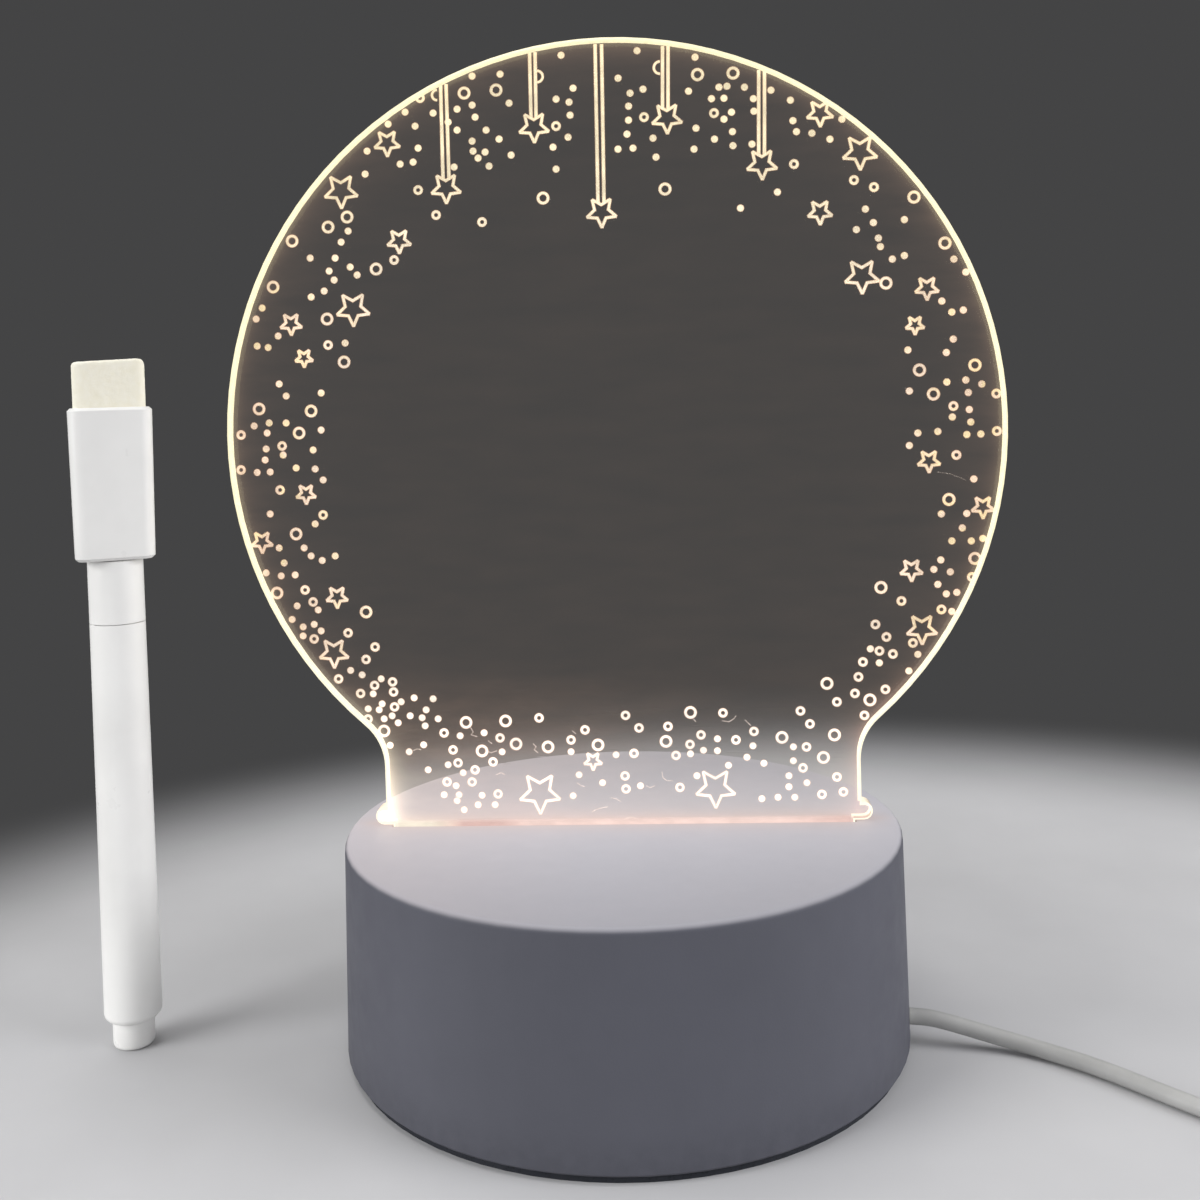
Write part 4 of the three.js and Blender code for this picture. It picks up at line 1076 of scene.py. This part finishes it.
def on_board(column, row):
    """Where the line through a pixel, bent by the acrylic, meets the board's back: x and z."""
    right, up, forward = camera_axes()
    ray = forward * focal_pixels
    ray += right * (column - optical_centre[0])
    ray -= up * (row - optical_centre[1])
    ray.normalize()
    front = camera_place + ray * ((plate_front - camera_place.y) / ray.y)
    inside = Vector((ray.x / acrylic_bend, 0, ray.z / acrylic_bend))
    inside.y = math.sqrt(1 - inside.length_squared)
    back = front + inside * ((plate_back - plate_front) / inside.y)
    return Vector((back.x, back.z))


class Marks:
    """Points and faces of the marks on the board's back face, as low ridges with soft edges."""

    def __init__(self):
        self.points = []
        self.faces = []
        self.glow = []
        self.count = 0

    def point(self, place, rise, glow):
        depth = plate_back + mark_lift + self.count * mark_step + rise * mark_rise
        self.points.append((place.x, depth, place.y))
        self.glow.append(glow)

    def ridge(self, path, stroke, closed=False, skirt=skirt_width):
        """A stroke along path, bright in the middle and with a soft skirt on both sides."""
        first = len(self.points)
        half = stroke / 2
        rails = [
            (-half - skirt, 0, 0.0),
            (-half, *stroke_edge_shares),
            (0, 1, 1.0),
            (half, *stroke_edge_shares),
            (half + skirt, 0, 0.0),
        ]
        for index, place in enumerate(path):
            before, after = neighbours(path, index, closed)
            arrive = (place - before if place != before else after - place).normalized()
            leave = (after - place if place != after else place - before).normalized()
            along = (arrive + leave).normalized()
            aside = Vector((-along.y, along.x))
            mitre = 1 / max(along.dot(arrive), 1 / longest_mitre_share)
            for offset, rise, glow in rails:
                self.point(place + aside * offset * mitre, rise, glow)
        self.faces += skin(first, len(path), len(rails), closed, rings=False)
        self.count += 1

    def ring(self, centre, outer):
        path = arc(centre, outer - skirt_width - ring_stroke / 2, 0, 360, ring_sides)
        self.ridge(path[:-1], ring_stroke, closed=True)

    def star(self, centre, outer):
        """An outline star that stands on one point."""
        reach = outer - skirt_width / 2 - star_stroke / 2
        blunt = star_tip / reach / 2
        path = []
        for tip in turned(-90, 270, star_points)[:-1]:
            notch = tip + math.pi / star_points
            path += [centre + reach * towards(angle) for angle in (tip - blunt, tip + blunt)]
            path.append(centre + reach * star_inner_share * towards(notch))
        self.ridge(path, star_stroke, closed=True)

    def dot(self, centre, radius):
        """A filled spot: a low dome with a soft skirt."""
        first = len(self.points)
        rings = [(1 + skirt_width / radius, 0, 0.0), *dot_ring_shares]
        for share, rise, glow in rings:
            for angle in turned(0, 360, dot_sides)[:-1]:
                self.point(centre + share * radius * towards(angle), rise, glow)
        tip = len(self.points)
        self.point(centre, 1, 1.0)
        self.faces += skin(first, len(rings), dot_sides)
        self.faces += fan(tip - dot_sides, dot_sides, tip)
        self.count += 1


def make_marks():
    """Stars, rings, dots and hanging stars, where the photograph shows them."""
    marks = Marks()
    for *ends, centre in pendants:
        places = [on_board(*end) for end in ends]
        marks.ridge(places[:2], pendant_stroke)
        marks.ridge(places[2:], pendant_stroke)
        marks.star(on_board(*centre), pendant_star_pixels * board_pixel)
    for column, row, reach, start in half_rings:
        radius = reach * board_pixel - ring_stroke / 2
        path = arc(on_board(column, row), radius, start, start + 180, ring_sides // 2)
        marks.ridge(path, ring_stroke * half_ring_share)
    for column, row, reach in stars:
        marks.star(on_board(column, row), reach * board_pixel)
    for rings, reach in ((large_rings, large_ring_pixels), (small_rings, small_ring_pixels)):
        for ring in rings:
            marks.ring(on_board(*ring), reach * board_pixel)
    for dot in dots:
        marks.dot(on_board(*dot), dot_pixels * board_pixel - skirt_width)
    lit = len(marks.faces)
    for path in scratches:
        marks.ridge([on_board(*place) for place in path], scratch_stroke, skirt=scratch_skirt)
    piece = make_mesh("board_marks", marks.points, marks.faces, "board")
    attribute = piece.data.attributes.new("glow", "FLOAT", "POINT")
    attribute.data.foreach_set("value", marks.glow)
    piece.data.materials.append(mark_light())
    piece.data.materials.append(scratch_light())
    for face in piece.data.polygons[lit:]:
        face.material_index = 1


def eraser_levels(low, side_top):
    """The felt block's rings of points, as shares of its outline and heights."""
    steps = range(eraser_wall_steps + 1)
    levels = [(1.0, low + (side_top - low) * step / eraser_wall_steps) for step in steps]
    for angle in turned(0, 90, eraser_edge_steps)[1:]:
        shrink = eraser_edge * (1 - math.cos(angle)) / eraser_half.y
        levels.append((1 - shrink, side_top + eraser_edge * math.sin(angle)))
    inner, top = levels[-1]
    steps = range(1, eraser_top_steps)
    return levels + [(inner * (1 - step / eraser_top_steps), top) for step in steps]


def make_eraser(paint):
    """The felt block: cut a little aslant at the top, with one rounded end and a rough nap."""
    low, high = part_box("eraser_felt")
    centre = (low + high) / 2
    turn = Matrix.Rotation(marker_turn, 3, "Z")
    half = eraser_half - Vector((eraser_nap, eraser_nap))
    outline = spaced(rounded_outline(half, eraser_corner, eraser_corner_steps), eraser_gap)
    side_top = high.z - eraser_edge - eraser_nap
    levels = eraser_levels(low.z, side_top)
    points = []
    for share, height in levels:
        upper = eased((height - low.z) / (side_top - low.z) * 2 - 1)
        for place in outline:
            x, y = place * share
            drop = eraser_slant * (0.5 - x / (2 * eraser_half.x))
            over = x - (eraser_half.x - eraser_round_end)
            if over > 0:
                fall = math.sqrt(max(eraser_round_end**2 - over**2, 0))
                drop += (eraser_round_end - fall) * eraser_round_share
            spot = Vector((x, y, height - upper * drop))
            rough = noise.noise(spot / matted_size) * matted_share
            rough += noise.noise(spot / tuft_size) * tuft_share
            away = Vector((0, 0, 1))
            if share == 1.0:
                away = Vector((x / eraser_half.x, y / eraser_half.y, 0)).normalized()
            spot = turn @ (spot + away * eraser_nap * rough)
            points.append((centre.x + spot.x, centre.y + spot.y, spot.z))
    count = len(outline)
    points.append((centre.x, centre.y, sum(point[2] for point in points[-count:]) / count))
    top = len(points) - 1
    faces = skin(0, len(levels), count) + fan(top - count, count, top)
    faces.append(tuple(reversed(range(count))))
    piece = make_mesh("eraser_felt_block", points, faces, "cap")
    piece.data.materials.append(paint)
    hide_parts("eraser_felt")
    return piece


def make_floor():
    """A plain pale floor that fades into the backdrop's grey away from the object."""
    mottle = 30 * MM
    grain = 0.6 * MM
    relief = 0.01 * MM
    mesh = bpy.data.meshes.new("floor")
    sides = [(-1, -1), (1, -1), (1, 1), (-1, 1)]
    mesh.from_pydata([(x * floor_reach, y * floor_reach, 0) for x, y in sides], [], [(0, 1, 2, 3)])
    paint = Paint("pale_floor", Roughness=0.75, Specular_IOR_Level=0.2)
    mottles = paint.noise(mottle, 3.0).patches()
    paint.colour(paint.blend(mottles, (0.55, 0.55, 0.56), (0.58, 0.58, 0.59)))
    paint.bump(paint.noise(grain, 3.0), relief, 0.3)
    ends = {0: paint.place, 1: lit_middle}
    away = paint.number("VectorMath", "Value", ends, operation="DISTANCE")
    far = away.spread(lit_radius, unlit_radius, curve="SMOOTHERSTEP")
    backdrop = paint.add("Emission", {"Color": backdrop_grey}).outputs[0]
    paint.surface(paint.mix(far, paint.shader.outputs[0], backdrop))
    mesh.materials.append(paint.material)
    put_in_scene("floor", mesh)


def make_world():
    """Even soft light, in front of which the camera, reflections and clear parts see plain grey."""
    world = bpy.data.worlds.new("studio")
    bpy.context.scene.world = world
    world.use_nodes = True
    nodes = Nodes(world.node_tree, "OutputWorld")
    path = nodes.add("LightPath").outputs
    seen = nodes.maths("MAXIMUM", path["Is Camera Ray"], path["Is Transmission Ray"])
    seen = nodes.maths("MAXIMUM", seen, path["Is Glossy Ray"])
    light = nodes.add("Background", {"Color": world_colour, "Strength": world_strength})
    backdrop = nodes.add("Background", {"Color": backdrop_grey})
    nodes.surface(nodes.mix(seen, light.outputs[0], backdrop.outputs[0]))


def make_lamps():
    for name, (place, size, power, colour) in lamps.items():
        data = bpy.data.lights.new(name, "AREA")
        data.shape = "DISK"
        data.size = size
        data.energy = power
        data.color = colour
        lamp = put_in_scene(name, data)
        lamp.location = place
        lamp.rotation_mode = "QUATERNION"
        lamp.rotation_quaternion = (lamp_aim - Vector(place)).to_track_quat("-Z", "Y")


make_camera()
tie = make_tie()
lead_cord, main_cord = make_cords(tie)
paints = slot_materials()
dress_nodes(paints)
for cord in (lead_cord, main_cord):
    cord.data.materials.append(paints["cable_white"])
tie.data.materials.append(paints["black_rubber"])
make_marks()
make_eraser(paints["cream_felt"])
make_floor()
make_world()
make_lamps()
bpy.context.scene.view_settings.view_transform = "Standard"
